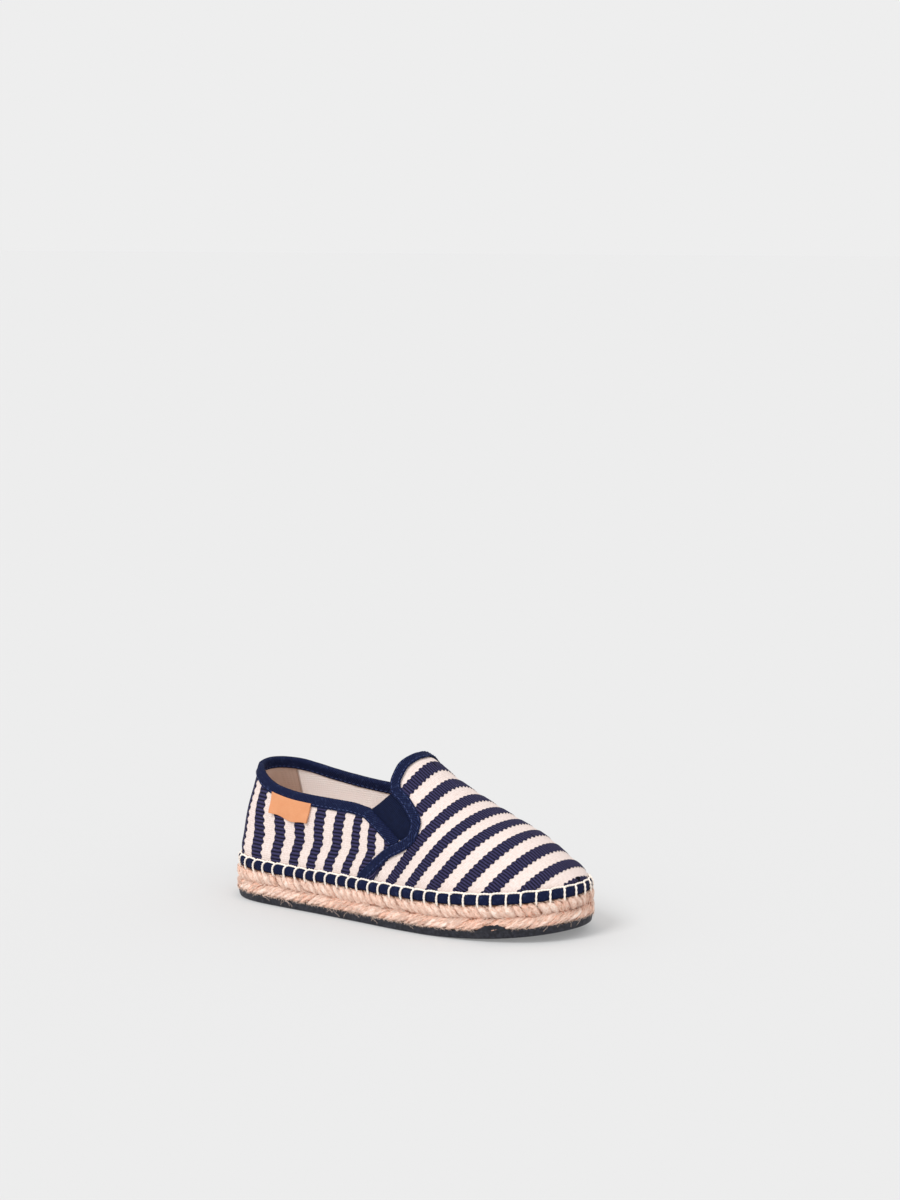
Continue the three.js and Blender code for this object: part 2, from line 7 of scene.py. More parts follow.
import bpy
import numpy as np
from mathutils import Euler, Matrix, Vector


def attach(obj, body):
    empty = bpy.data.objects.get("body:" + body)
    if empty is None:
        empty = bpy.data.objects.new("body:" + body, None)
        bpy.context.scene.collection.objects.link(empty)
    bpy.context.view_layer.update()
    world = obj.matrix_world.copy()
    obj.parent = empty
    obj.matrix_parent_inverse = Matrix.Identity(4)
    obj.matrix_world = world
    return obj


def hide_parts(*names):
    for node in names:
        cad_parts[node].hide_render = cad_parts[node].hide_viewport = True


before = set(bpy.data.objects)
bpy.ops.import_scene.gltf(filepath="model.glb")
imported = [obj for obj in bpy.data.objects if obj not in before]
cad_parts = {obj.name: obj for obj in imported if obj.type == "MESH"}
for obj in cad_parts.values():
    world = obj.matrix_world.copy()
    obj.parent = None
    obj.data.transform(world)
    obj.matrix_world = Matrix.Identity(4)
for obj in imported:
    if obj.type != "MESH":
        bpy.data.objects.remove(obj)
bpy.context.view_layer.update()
bpy.ops.object.select_all(action="DESELECT")
print("frame loaded, with", len(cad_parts), "nodes")

# The last and the sole: the sizes and tables of the part's source, which this script can't read.
# Only vampLine's lower rows differ, by up to 3 mm: the foot of the side seam lies nearer the heel.
last = {
    "length": 205,
    "ball": 80,
    "heel": 61,
    "toeSwing": 7,
    "toeSpring": 5.2,
    "springStart": 0.66,
    "outsole": 3.4,
    "jute": 13.2,
    "gap": 0.3,
    "wall": 1.8,
    "inset": 2.8,
    "heelLean": 7,
    "sideLean": 3.2,
    "tongue": 66.8,
    "collarBack": 54.1,
    "collarSide": 43,
    "soleToePower": 4.4,
    "soleHeelPower": 8.6,
    "middle": (102.5, 3.488, 0),  # the model's origin
}
feather = last["outsole"] + last["gap"] + last["jute"]
sideLines = {
    "at": [0, 0.15, 0.3, 0.45, 0.6, 0.7, 0.8, 0.9, 1],
    "outer": [0, 0.02, 0.14, 0.46, 0.86, 1, 0.98, 0.9, 0.8],
    "inner": [0, 0, -0.12, 0.08, 0.62, 0.94, 1, 0.94, 0.84],
    "swing": [0, 0, 0.02, 0.16, 0.38, 0.54, 0.7, 0.86, 1],
}
slices = {
    "rise": [0, 0.085, 0.15, 0.26, 0.41, 0.49, 0.6, 0.7, 0.79, 0.87, 0.94, 1, 1.05],
    "front": [1, 1, 0.985, 0.945, 0.878, 0.825, 0.748, 0.683, 0.632, 0.595, 0.563, 0.515, 0.45],
    "back": [0, -0.08, -0.1, 0, 0.22, 0.4, 0.7, 0.95, 1.15, 1.3, 1.45, 1.6, 1.7],
    "lean": [0, -0.1, -0.1, 0.05, 0.3, 0.5, 0.9, 1.3, 1.8, 2.3, 2.8, 3.2, 3.4],
    "toePower": [4.4, 4.3, 4.1, 3.5, 2.9, 2.7, 2.45, 2.3, 2.2, 2.1, 2, 2, 2],
    "heelPower": [8.6, 8.5, 8.2, 7.6, 6.8, 6.3, 5.6, 5, 4.5, 4.2, 4, 4, 4],
}
collarLine = {
    "at": [-0.05, 0.04, 0.085, 0.142, 0.182, 0.252, 0.32, 0.417, 0.487],
    "outer": [1, 1, 0.82, 0.4, 0.2, 0.04, 0, -0.01, -0.16],
    "inner": [1, 1, 0.87, 0.6, 0.43, 0.26, 0.14, -0.02, -0.16],
}
vampLine = {
    "rise": [0, 0.12, 0.19, 0.27, 0.343, 0.431, 0.479, 0.535]
    + [0.594, 0.678, 0.752, 0.85, 0.92, 0.99, 1.05],
    "at": [0.435, 0.464, 0.488, 0.518, 0.547, 0.596, 0.609, 0.608]
    + [0.592, 0.561, 0.527, 0.516, 0.516, 0.522, 0.53],
}
quarterLine = {"rise": [0.42, 0.437, 0.521, 0.608], "at": [0.584, 0.575, 0.534, 0.487]}


# A smooth curve through one column of a table, with no overshoot between its rows
def column(table, across, key):
    x = np.array(table[across], float)
    y = np.array(table[key], float)
    step = np.diff(y) / np.diff(x)
    slope = np.empty(len(x))
    slope[0], slope[-1] = step[0], step[-1]
    product = step[:-1] * step[1:]
    total = np.where(product > 0, step[:-1] + step[1:], 1)
    slope[1:-1] = np.where(product > 0, 2 * product / total, 0)

    def curve(at):
        at = np.asarray(at, float)
        i = np.clip(np.searchsorted(x, at, side="right") - 1, 0, len(x) - 2)
        width = x[i + 1] - x[i]
        t = np.clip((at - x[i]) / width, 0, 1)
        rest = 1 - t
        inside = y[i] * (1 + 2 * t) * rest**2 + y[i + 1] * t**2 * (3 - 2 * t)
        inside += slope[i] * width * t * rest**2 - slope[i + 1] * width * t**2 * rest
        return inside + slope[0] * np.minimum(at - x[0], 0) + slope[-1] * np.maximum(at - x[-1], 0)

    return curve


outerSpread = column(sideLines, "at", "outer")
innerSpread = column(sideLines, "at", "inner")
swingShare = column(sideLines, "at", "swing")
sliceCurve = {key: column(slices, "rise", key) for key in slices if key != "rise"}
collarOuter = column(collarLine, "at", "outer")
collarInner = column(collarLine, "at", "inner")
vampEdgeAt = column(vampLine, "rise", "at")
quarterEdgeAt = column(quarterLine, "rise", "at")


def lift(x):
    t = np.maximum(0, (x / last["length"] - last["springStart"]) / (1 - last["springStart"]))
    return last["toeSpring"] * t**2


# Plan outline. turn: 0 at the heel, by the outer side to 1 at the toe, by the inner side to 2.
def outline(turn, back, front, inset, toePower, heelPower):
    along = -np.cos(np.pi * turn)
    outer = np.mod(turn, 2) <= 1
    x = back + (front - back) * (1 + along) / 2
    power = np.where(along > 0, toePower, heelPower)
    rounded = np.sqrt(np.maximum(0, 1 - np.abs(along) ** power))
    at = x / last["length"]
    spread = np.where(outer, outerSpread(at), innerSpread(at))
    half = (last["heel"] + (last["ball"] - last["heel"]) * spread) / 2
    return x, (half - inset) * rounded * np.where(outer, -1, 1) + last["toeSwing"] * swingShare(at)


def sliceEnds(rise):
    share = rise / last["tongue"]
    back = last["inset"] + last["heelLean"] * sliceCurve["back"](share)
    front = last["inset"] + (last["length"] - 2 * last["inset"]) * sliceCurve["front"](share)
    return share, back, front


# The upper's outer face. rise: height over the jute's top.
def face(turn, rise):
    turn, rise = np.broadcast_arrays(np.asarray(turn, float), np.asarray(rise, float))
    share, back, front = sliceEnds(rise)
    inset = last["inset"] + last["sideLean"] * sliceCurve["lean"](share)
    x, y = outline(turn, back, front, inset, sliceCurve["toePower"](share), sliceCurve["heelPower"](share))
    return np.stack([x, y, feather + rise + lift(x)], -1)


def slopes(turn, rise):
    byTurn = (face(turn + 1e-3, rise) - face(turn - 1e-3, rise)) / 2e-3
    byRise = (face(turn, rise + 0.02) - face(turn, rise - 0.02)) / 0.04
    return byTurn, byRise


def unit(vectors):
    return vectors / np.maximum(np.linalg.norm(vectors, axis=-1, keepdims=True), 1e-9)


def offFace(turn, rise, out):
    normal = unit(np.cross(*slopes(turn, rise)))
    return face(turn, rise) + normal * np.asarray(out, float)[..., None]


def turnAt(x, rise):
    share, back, front = sliceEnds(rise)
    return np.arccos(-np.clip(2 * (x - back) / (front - back) - 1, -1, 1)) / np.pi


def nearestOnFace(point, turn, rise):
    for _ in range(5):
        miss = point - face(turn, rise)
        byTurn, byRise = slopes(turn, rise)
        tt, tr, rr = ((a * b).sum(-1) for a, b in ((byTurn, byTurn), (byTurn, byRise), (byRise, byRise)))
        mt, mr = (miss * byTurn).sum(-1), (miss * byRise).sum(-1)
        size = tt * rr - tr * tr
        turn = turn + (mt * rr - mr * tr) / size
        rise = rise + (mr * tt - mt * tr) / size
    return turn, rise


# The sole's edge by length, from the heel's back along the outer side
fineTurns = np.linspace(0, 2, 4001)


def soleEdge(turn, outset):
    def at(t):
        return np.stack(outline(t, 0, last["length"], 0, last["soleToePower"], last["soleHeelPower"]), -1)

    along = unit(at(turn + 1e-3) - at(turn - 1e-3))
    return at(turn) + np.stack([along[..., 1], -along[..., 0]], -1) * np.asarray(outset, float)[..., None]


def travelled(points):
    steps = np.linalg.norm(np.diff(points, axis=0), axis=-1)
    return np.concatenate([[0], np.cumsum(steps)])


soleLengths = travelled(soleEdge(fineTurns, np.zeros(len(fineTurns))))
girth = soleLengths[-1]


def turnOf(arc):
    return np.interp(np.mod(arc, girth), soleLengths, fineTurns)


def onSole(arc, height, outset):
    arc, height, outset = np.broadcast_arrays(arc, height, outset)
    edge = soleEdge(turnOf(arc), outset)
    return np.stack([edge[..., 0], edge[..., 1], height + lift(edge[..., 0])], -1)


def onFoot(arc, rise, out):
    return offFace(turnOf(arc), rise, out)


def smooth(low, high, value):
    t = np.clip((value - low) / (high - low), 0, 1)
    return t * t * (3 - 2 * t)


# Slow noise along a line, the same each run
def wander(at, size, seed):
    waves = np.random.default_rng(seed)
    total = 0
    for share in (1, 0.61, 0.37, 0.23):
        total = total + share * np.sin(2 * np.pi * (np.asarray(at) / (size * share) + waves.random()))
    return total / 2.2


# Materials
perBand = math.pi / 10  # a Wave texture's scale that lays its bands 1 mm apart


def linear(code):
    parts = [int(code[i : i + 2], 16) / 255 for i in (1, 3, 5)]
    return [p / 12.92 if p <= 0.04045 else ((p + 0.055) / 1.055) ** 2.4 for p in parts] + [1]


# Adds one node and gives one of its outputs. inputs: values or other outputs, in order or by name.
def addNode(tree, kind, inputs=(), output=0, **settings):
    node = tree.nodes.new("ShaderNode" + kind)
    for key, value in settings.items():
        setattr(node, key, value)
    for key, value in inputs.items() if isinstance(inputs, dict) else enumerate(inputs):
        if isinstance(value, bpy.types.NodeSocket):
            tree.links.new(value, node.inputs[key])
        else:
            node.inputs[key].default_value = value
    return node.outputs[output]


# Gives the material and an addNode of its own. Cloth scatters most of its gloss away.
def newMaterial(name, roughness, ior=1.45, gloss=0.5):
    made = bpy.data.materials.new(name)
    made.use_nodes = True
    shader = made.node_tree.nodes["Principled BSDF"]
    shader.inputs["Roughness"].default_value = roughness
    shader.inputs["IOR"].default_value = ior
    shader.inputs["Specular IOR Level"].default_value = gloss
    return made, partial(addNode, made.node_tree)


# Joins the patterns to the material's own shader. depth: the relief in millimetres.
def dress(made, colour, height, depth, roughness=None):
    tree = made.node_tree
    normal = addNode(tree, "Bump", {"Height": height, "Distance": depth / 1000})
    for key, value in {"Base Color": colour, "Normal": normal, "Roughness": roughness}.items():
        if value is not None:
            tree.links.new(value, tree.nodes["Principled BSDF"].inputs[key])
    return made


# The place on the object in millimetres
def objectPlace(add):
    return add("Mapping", {"Vector": add("TexCoord", output="Object"), "Scale": (1000, 1000, 1000)})


stripes = {
    "period": 12.6,  # navy and cream together, along the ridge
    "navyHalf": 3.15,
    "scallopDepth": 0.36,
    "edgeSoft": 0.16,
    "fray": 0.35,
    "raised": 0.4,
    "waves": {  # way, length in mm, how bent, detail; real threads are 0.5 mm, too fine for the picture
        "scallop": ("Y", 3.8, 0.6, 2),
        "rib": ("Y", 1.9, 1.2, 1.5),
        "warp": ("X", 1.15, 0.8, 1),
        "weft": ("Y", 1.15, 0.8, 1),
    },
}


# Striped cotton canvas, woven: cream ground with thick ribbed navy yarns, whose colour holds painted shade
# in the rib grooves, painted highlight on the rib crowns and painted glints
def stripedCanvas():
    made, add = newMaterial("woven_striped_canvas", 0.85, gloss=0.15)
    place = add("UVMap", uv_map="millimetres")
    wave = {}
    for key, (way, long, bent, detail) in stripes["waves"].items():
        inputs = {"Vector": place, "Scale": perBand / long, "Distortion": bent, "Detail": detail}
        wave[key] = add("TexWave", inputs, "Fac", bands_direction=way)
    side = add("Math", [wave["scallop"], 0.5], operation="SUBTRACT")
    across = add("SeparateXYZ", [place])
    fromMiddle = add("Math", [across, stripes["period"] / 2], operation="PINGPONG")
    edge = add("Math", [side, 2 * stripes["scallopDepth"], fromMiddle], operation="MULTIPLY_ADD")
    fray = add("TexNoise", {"Vector": place, "Scale": 1 / 0.9, "Detail": 3, "Roughness": 0.55})
    frayed = add("Math", [fray, stripes["fray"], edge], operation="MULTIPLY_ADD")
    soft = stripes["edgeSoft"]
    limit = stripes["navyHalf"] + stripes["fray"] / 2 - 0.005
    navy = add("MapRange", [frayed, limit - soft, limit + soft, 1, 0], interpolation_type="SMOOTHSTEP")
    rib = add("Math", [wave["rib"], 0.6], operation="POWER")
    cloth = add("Math", [wave["warp"], wave["weft"]], operation="MULTIPLY")
    slub = add("TexNoise", {"Vector": place, "Scale": 1 / 1.5, "Detail": 3, "Roughness": 0.55})
    slub = add("MapRange", [slub, 0.42, 0.66, 0, 1], interpolation_type="SMOOTHSTEP")
    # Pale specks on the navy ribs: painted glints, a painted highlight
    ribGlint = add("TexNoise", {"Vector": place, "Scale": 1 / 0.8, "Detail": 4, "Roughness": 0.7})
    ribGlint = add("MapRange", [ribGlint, 0.56, 0.72, 0, 0.4], interpolation_type="SMOOTHSTEP")
    # Navy rib colour: painted shade in the grooves, painted highlight on the crowns
    ribShadeAndLight = add("Mix", {0: rib, 6: linear("#01010a"), 7: linear("#3b385c")}, 2, data_type="RGBA")
    navyColour = add("Mix", {0: ribGlint, 6: ribShadeAndLight, 7: linear("#746c90")}, 2, data_type="RGBA")
    creamShade = add("Mix", {0: cloth, 6: linear("#e4d3cc"), 7: linear("#f4e7e2")}, 2, data_type="RGBA")
    creamColour = add("Mix", {0: slub, 6: creamShade, 7: linear("#dfcdc5")}, 2, data_type="RGBA")
    colour = add("Mix", {0: navy, 6: creamColour, 7: navyColour}, 2, data_type="RGBA")
    clothHeight = add("Math", [cloth, 0.25], operation="MULTIPLY")
    relief = add("Mix", {0: navy, 2: clothHeight, 3: rib}, data_type="FLOAT")
    return dress(made, colour, add("Math", [navy, 0.7, relief], operation="MULTIPLY_ADD"), 0.6)


liningSeam = {"x": -84, "apart": 4.2}  # two rows of stitches beside the heel's piece


# Plain woven cotton lining: beige at the heel, paler in front of the seam
def liningCloth():
    made, add = newMaterial("cotton_lining", 0.95, gloss=0.15)
    place = objectPlace(add)
    fromSeam = add("Math", [add("SeparateXYZ", [place]), -liningSeam["x"]], operation="ADD")
    far = add("Math", [fromSeam], operation="ABSOLUTE")
    near = add("Math", [fromSeam, liningSeam["apart"]], operation="PINGPONG")
    past = liningSeam["apart"] + 0.4
    heel = add("MapRange", [fromSeam, -0.3, 0.3, 1, 0], interpolation_type="SMOOTHSTEP")
    within = add("MapRange", [far, past, past + 0.4, 1, 0], interpolation_type="SMOOTHSTEP")
    line = add("MapRange", [near, 0.2, 0.7, 1, 0], interpolation_type="SMOOTHSTEP")
    groove = add("Math", [line, within], operation="MULTIPLY")
    inputs = {"Vector": place, "Scale": perBand / 1.2, "Distortion": 0.6, "Detail": 1}
    warp, weft = [add("TexWave", inputs, "Fac", bands_direction=way) for way in "XZ"]
    threads = add("Math", [weft, warp], operation="MULTIPLY")
    soft = add("TexNoise", {"Vector": place, "Scale": 1 / 6, "Detail": 3, "Roughness": 0.55})
    front = add("Mix", {0: soft, 6: linear("#fff0ea"), 7: linear("#fff8f4")}, 2, data_type="RGBA")
    beige = add("Mix", {0: soft, 6: linear("#be9e8d"), 7: linear("#cfb3a4")}, 2, data_type="RGBA")
    plain = add("Mix", {0: heel, 6: front, 7: beige}, 2, data_type="RGBA")
    dark = add("Math", [groove, 0.55], operation="MULTIPLY")
    colour = add("Mix", {0: dark, 6: plain, 7: linear("#8f6c58")}, 2, data_type="RGBA")
    height = add("Math", [threads, soft], operation="ADD")
    return dress(made, colour, add("Math", [groove, -4, height], operation="MULTIPLY_ADD"), 0.1)


# Cotton twill tape, woven on the slant: matte navy with a fine diagonal, and paler patches of painted
# highlight
def twillTape():
    made, add = newMaterial("cotton_twill_tape", 0.8, gloss=0.12)
    place = add("UVMap", uv_map="millimetres")
    turned = add("Mapping", {"Vector": place, "Rotation": (0, 0, math.radians(38))})
    fine = {"Vector": turned, "Scale": perBand / 0.9, "Distortion": 0.5, "Detail": 1}
    coarse = {"Vector": turned, "Scale": perBand / 1.3, "Distortion": 1.5, "Detail": 1}
    twill = add("TexWave", fine, "Fac", bands_direction="X")
    cross = add("TexWave", coarse, "Fac", bands_direction="Y")
    highlightPatches = {"Vector": objectPlace(add), "Scale": 1 / 2.2, "Detail": 5, "Roughness": 0.65}
    highlightPatches = add("TexNoise", highlightPatches)
    threads = add("Math", [cross, 0.35, twill], operation="MULTIPLY_ADD")
    lit = add("MapRange", [threads, 0.1, 1.2, 0, 1], interpolation_type="SMOOTHSTEP")
    # Paler patches on the tape: painted highlight, the same noise also gives relief
    paintedHighlight = add("MapRange", [highlightPatches, 0.52, 0.72, 0, 0.45], interpolation_type="SMOOTHSTEP")
    base = add("Mix", {0: lit, 6: linear("#0a1026"), 7: linear("#182146")}, 2, data_type="RGBA")
    colour = add("Mix", {0: paintedHighlight, 6: base, 7: linear("#384568")}, 2, data_type="RGBA")
    return dress(made, colour, add("Math", [threads, highlightPatches], operation="ADD"), 0.16)


# Woven rib elastic: dense dark navy with faint cords along its stretch
def ribElastic():
    made, add = newMaterial("rib_elastic", 0.75, gloss=0.12)
    place = add("UVMap", uv_map="millimetres")
    along = {"Vector": place, "Scale": perBand / 1.1, "Distortion": 0.2, "Detail": 1}
    over = {"Vector": place, "Scale": perBand / 0.8, "Distortion": 0.4, "Detail": 1}
    cords = add("TexWave", along, "Fac", bands_direction="X")
    ticks = add("TexWave", over, "Fac", bands_direction="Y")
    soft = add("TexNoise", {"Vector": place, "Scale": 1 / 3, "Detail": 4, "Roughness": 0.55})
    height = add("Math", [ticks, 0.3, cords], operation="MULTIPLY_ADD")
    lit = add("Math", [height, soft], operation="MULTIPLY")
    colour = add("Mix", {0: lit, 6: linear("#070d22"), 7: linear("#141f42")}, 2, data_type="RGBA")
    return dress(made, colour, height, 0.14)


# Raw jute, plaited: dry pale straw fibres, a little different in each strand, with painted shade that
# darkens the sunken parts of each strand and lightens its crown
def rawJute():
    made, add = newMaterial("raw_jute", 0.9, gloss=0.2)
    # Each strand's own tone, with painted shade on its sunken parts and painted light on its crown
    toneAndShade = add("Attribute", output="Fac", attribute_name="toneAndShade")
    lines = add("Mapping", {"Vector": add("UVMap", uv_map="millimetres"), "Scale": (1, 0.12, 1)})
    fibre = add("TexNoise", {"Vector": lines, "Scale": 1 / 0.45, "Detail": 4, "Roughness": 0.7})
    coarse = add("TexNoise", {"Vector": lines, "Scale": 1 / 1.6, "Detail": 2, "Roughness": 0.5})
    lit = add("MapRange", [fibre, 0.36, 0.56, 0, 1], interpolation_type="SMOOTHSTEP")
    light = add("Mix", {0: toneAndShade, 6: linear("#fab899"), 7: linear("#fff1e6")}, 2, data_type="RGBA")
    dark = add("Mix", {0: toneAndShade, 6: linear("#a06e54"), 7: linear("#f3c4aa")}, 2, data_type="RGBA")
    colour = add("Mix", {0: lit, 6: dark, 7: light}, 2, data_type="RGBA")
    return dress(made, colour, add("Math", [coarse, 1.2, fibre], operation="MULTIPLY_ADD"), 0.9)


# Materials that are one noise between two colours, with the noise as their relief
def plainMaterial(name, roughness, gloss, noise, dark, pale, depth):
    made, add = newMaterial(name, roughness, gloss=gloss)
    long, detail, rough = noise
    inputs = {"Vector": objectPlace(add), "Scale": 1 / long, "Detail": detail, "Roughness": rough}
    soft = add("TexNoise", inputs)
    colour = add("Mix", {0: soft, 6: linear(dark), 7: linear(pale)}, 2, data_type="RGBA")
    return dress(made, colour, soft, depth)


# Moulded crepe rubber: dark, dull, with a scuffed skin
def mouldedRubber():
    made, add = newMaterial("moulded_rubber", 0.62, 1.52, 0.35)
    place = objectPlace(add)
    skin = add("TexNoise", {"Vector": place, "Scale": 1 / 1.6, "Detail": 5, "Roughness": 0.65})
    broad = add("TexNoise", {"Vector": place, "Scale": 1 / 9, "Detail": 3, "Roughness": 0.55})
    scuffed = add("MapRange", [skin, 0.35, 0.75, 0, 1], interpolation_type="SMOOTHSTEP")
    dull = add("MapRange", [broad, 0.3, 0.7, 0.5, 0.75], interpolation_type="SMOOTHSTEP")
    colour = add("Mix", {0: scuffed, 6: linear("#17171f"), 7: linear("#34353f")}, 2, data_type="RGBA")
    return dress(made, colour, skin, 0.25, dull)


# Vegetable-tanned leather, cut: warm tan with a fine grain and a soft gloss
def tanLeather():
    made, add = newMaterial("vegetable_tanned_leather", 0.5, 1.5)
    place = objectPlace(add)
    grain = add("TexVoronoi", {"Vector": place, "Scale": 1.3}, "Distance")
    soft = add("TexNoise", {"Vector": place, "Scale": 1 / 4, "Detail": 4, "Roughness": 0.55})
    colour = add("Mix", {0: soft, 6: linear("#cf8557"), 7: linear("#dd9a6c")}, 2, data_type="RGBA")
    return dress(made, colour, add("Math", [grain, soft], operation="ADD"), 0.08)


# Plain-woven jute cloth under the foot
def insoleCloth():
    made, add = newMaterial("woven_insole_cloth", 0.95, gloss=0.15)
    place = objectPlace(add)
    inputs = {"Vector": place, "Scale": perBand / 1.5, "Distortion": 0.8, "Detail": 1}
    warp, weft = [add("TexWave", inputs, "Fac", bands_direction=way) for way in "XY"]
    threads = add("Math", [warp, weft], operation="MULTIPLY")
    soft = add("TexNoise", {"Vector": place, "Scale": 1 / 5, "Detail": 4, "Roughness": 0.55})
    mixed = add("Math", [soft, 0.6, threads], operation="MULTIPLY_ADD")
    colour = add("Mix", {0: mixed, 6: linear("#b9977c"), 7: linear("#dcc3ab")}, 2, data_type="RGBA")
    return dress(made, colour, mixed, 0.25)


canvasCloth = stripedCanvas()
lining = liningCloth()
navyTape = twillTape()
elastic = ribElastic()
jute = rawJute()
# Jute packed behind the plait: the same fibre in deep shade
juteShade = plainMaterial("packed_jute", 1.0, 0.1, (1.2, 5, 0.7), "#85563f", "#d9a589", 0.6)
# Waxed cotton thread, twisted: a faint sheen, bright cream or navy
thread = (0.8, 3, 0.55)
creamThread = plainMaterial("cream_cotton_thread", 0.65, 0.25, thread, "#f2e2d4", "#fff8f0", 0.08)
navyThread = plainMaterial("navy_cotton_thread", 0.65, 0.25, thread, "#232e59", "#48547f", 0.08)
# Loose jute fibre, pulled out of the plait: pale where it catches the light
hairThread = plainMaterial("loose_jute_fibre", 0.65, 0.25, thread, "#d3a284", "#fff2e8", 0.08)
rubber = mouldedRubber()
leather = tanLeather()
insoleWeave = insoleCloth()
print("materials made")


# Laying patterns on the last
def coordinates(piece):
    flat = np.empty(len(piece.data.vertices) * 3)
    piece.data.vertices.foreach_get("co", flat)
    return flat.reshape(-1, 3)


def putPoints(piece, points):
    piece.data.vertices.foreach_set("co", ((points - np.array(last["middle"])) / 1000).ravel())
    piece.data.update()


# UV in millimetres from one pair of values at each vertex. repeat: length after which across repeats.
def giveUv(piece, across, up, repeat=0.0):
    mesh = piece.data
    corner = np.empty(len(mesh.loops), int)
    mesh.loops.foreach_get("vertex_index", corner)
    pairs = np.stack([across[corner], up[corner]], -1)
    if repeat:
        starts = np.array([p.loop_start for p in mesh.polygons])
        counts = np.array([p.loop_total for p in mesh.polygons])
        highest = np.repeat(np.maximum.reduceat(pairs[:, 0], starts), counts)
        pairs[:, 0] += np.where(highest - pairs[:, 0] > repeat / 2, repeat, 0)
    layer = mesh.uv_layers.get("millimetres") or mesh.uv_layers.new(name="millimetres")
    layer.data.foreach_set("uv", pairs.ravel())


def selectOnly(piece):
    bpy.ops.object.select_all(action="DESELECT")
    piece.select_set(True)
    bpy.context.view_layer.objects.active = piece


def finish(piece, material, node, angle):
    piece.data.materials.clear()
    piece.data.materials.append(material)
    selectOnly(piece)
    bpy.ops.object.shade_smooth_by_angle(angle=math.radians(angle))
    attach(piece, "root")
    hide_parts(node)


def applyModifier(piece, kind, **settings):
    selectOnly(piece)
    modifier = piece.modifiers.new(kind.lower(), kind)
    for key, value in settings.items():
        setattr(modifier, key, value)
    bpy.ops.object.modifier_apply(modifier=modifier.name)


# A flat sheet from (0, 0) to (1, 1), cut into cells
def flatSheet(name, columns, rows):
    middle = (0.5, 0.5, 0)
    bpy.ops.mesh.primitive_grid_add(x_subdivisions=columns, y_subdivisions=rows, size=1, location=middle)
    piece = bpy.context.object
    piece.name = piece.data.name = name
    bpy.ops.object.transform_apply(location=True, rotation=False, scale=False)
    return piece


# How far along the sole's edge each point of a ring goes
def arcOfRing(flat):
    return np.mod(np.arctan2(flat[:, 1], flat[:, 0]), 2 * math.pi) / (2 * math.pi) * girth


# A ring of quads, level by level, with both ends closed. levels: height and outset of each.
def ringBody(name, stations, levels):
    bpy.ops.mesh.primitive_circle_add(vertices=stations, radius=1, fill_type="NGON")
    piece = bpy.context.object
    piece.name = piece.data.name = name
    bpy.ops.object.mode_set(mode="EDIT")
    bpy.ops.mesh.select_all(action="SELECT")
    for _ in range(len(levels) - 1):
        bpy.ops.mesh.extrude_region_move(TRANSFORM_OT_translate={"value": (0, 0, 1)})
    bpy.ops.object.mode_set(mode="OBJECT")
    flat = coordinates(piece)
    level = np.rint(flat[:, 2]).astype(int)
    return (piece, arcOfRing(flat), level, *np.array(levels)[level].T)


def outwards(piece):
    selectOnly(piece)
    bpy.ops.object.mode_set(mode="EDIT")
    bpy.ops.mesh.select_all(action="SELECT")
    bpy.ops.mesh.remove_doubles(threshold=1e-6)
    bpy.ops.mesh.normals_make_consistent(inside=False)
    bpy.ops.object.mode_set(mode="OBJECT")


# Gives a laid sheet its thickness
def thicken(piece, thick, offset=-1):
    outwards(piece)
    applyModifier(piece, "SOLIDIFY", thickness=thick / 1000, offset=offset)


# Soft creases in the canvas. x and rise of the middle, half length and half
# width, the way it runs in degrees from level, and its depth, negative for a ridge.
creases = [
    {"side": -1, "x": 86, "rise": 24, "long": 16, "wide": 5, "way": 78, "deep": 0.5},
    {"side": -1, "x": 58, "rise": 14, "long": 18, "wide": 6, "way": 20, "deep": 0.45},
    {"side": -1, "x": 34, "rise": 22, "long": 14, "wide": 6, "way": 60, "deep": 0.4},
    {"side": -1, "x": 150, "rise": 14, "long": 13, "wide": 5, "way": 140, "deep": 0.5},
    {"side": -1, "x": 172, "rise": 10, "long": 12, "wide": 4, "way": 150, "deep": 0.45},
    {"side": 0, "x": 158, "rise": 32, "long": 16, "wide": 5, "way": 90, "deep": 0.5},
    {"side": 0, "x": 176, "rise": 24, "long": 14, "wide": 4, "way": 90, "deep": -0.35},
    {"side": 1, "x": 80, "rise": 22, "long": 16, "wide": 6, "way": 80, "deep": 0.5},
    {"side": 1, "x": 120, "rise": 16, "long": 16, "wide": 6, "way": 40, "deep": 0.5},
    {"side": 1, "x": 160, "rise": 14, "long": 13, "wide": 5, "way": 130, "deep": 0.5},
]


def creased(points, rise):
    x, y = points[:, 0], points[:, 1]
    side = (y - last["toeSwing"] * swingShare(x / last["length"])) / 30
    out = np.zeros(len(x))
    for crease in creases:
        way = math.radians(crease["way"])
        dx = x - crease["x"]
        dz = rise - crease["rise"] if crease["side"] else side * 30
        along = (dx * math.cos(way) + dz * math.sin(way)) / crease["long"]
        across = (dz * math.cos(way) - dx * math.sin(way)) / crease["wide"]
        where = np.exp(-(along**2) - across**2)
        if crease["side"]:
            where = where * smooth(0.2, 0.7, side * crease["side"])
        else:
            where = where * smooth(16, 22, rise)
        out -= crease["deep"] * where
    return out


# Vamp: rows run across the shoe from one edge of the vamp over the ridge to the other
vamp = {
    "columns": 236,
    "rows": 158,
    "low": 1.4,
    "seamUnder": 2.6,  # past the edge line, under the tape, where the quarter joins
    "edgeUnder": 1.7,  # the same where the edge is free
    "stripeStretch": 1.15,
    "cloth": 0.9,
    "ridgeStripes": [95.5, 107, 118.5, 129, 140.6, 151.5, 162.2, 173.7, 184.5, 194.8, 203.2, 214],
    "fallFar": 0.72,  # how far a stripe runs to the rear for each mm that it falls
    "fallNear": [(95, 0.05), (129, 0.05), (140.6, 0.3), (151.5, 0.6), (162.2, 0.72)],
    "fallWithin": 10,
}


def vampEdge(share):
    under = np.interp(share, [0.38, 0.46], [vamp["seamUnder"], vamp["edgeUnder"]])
    return vampEdgeAt(share) * last["length"] + under * 1.25


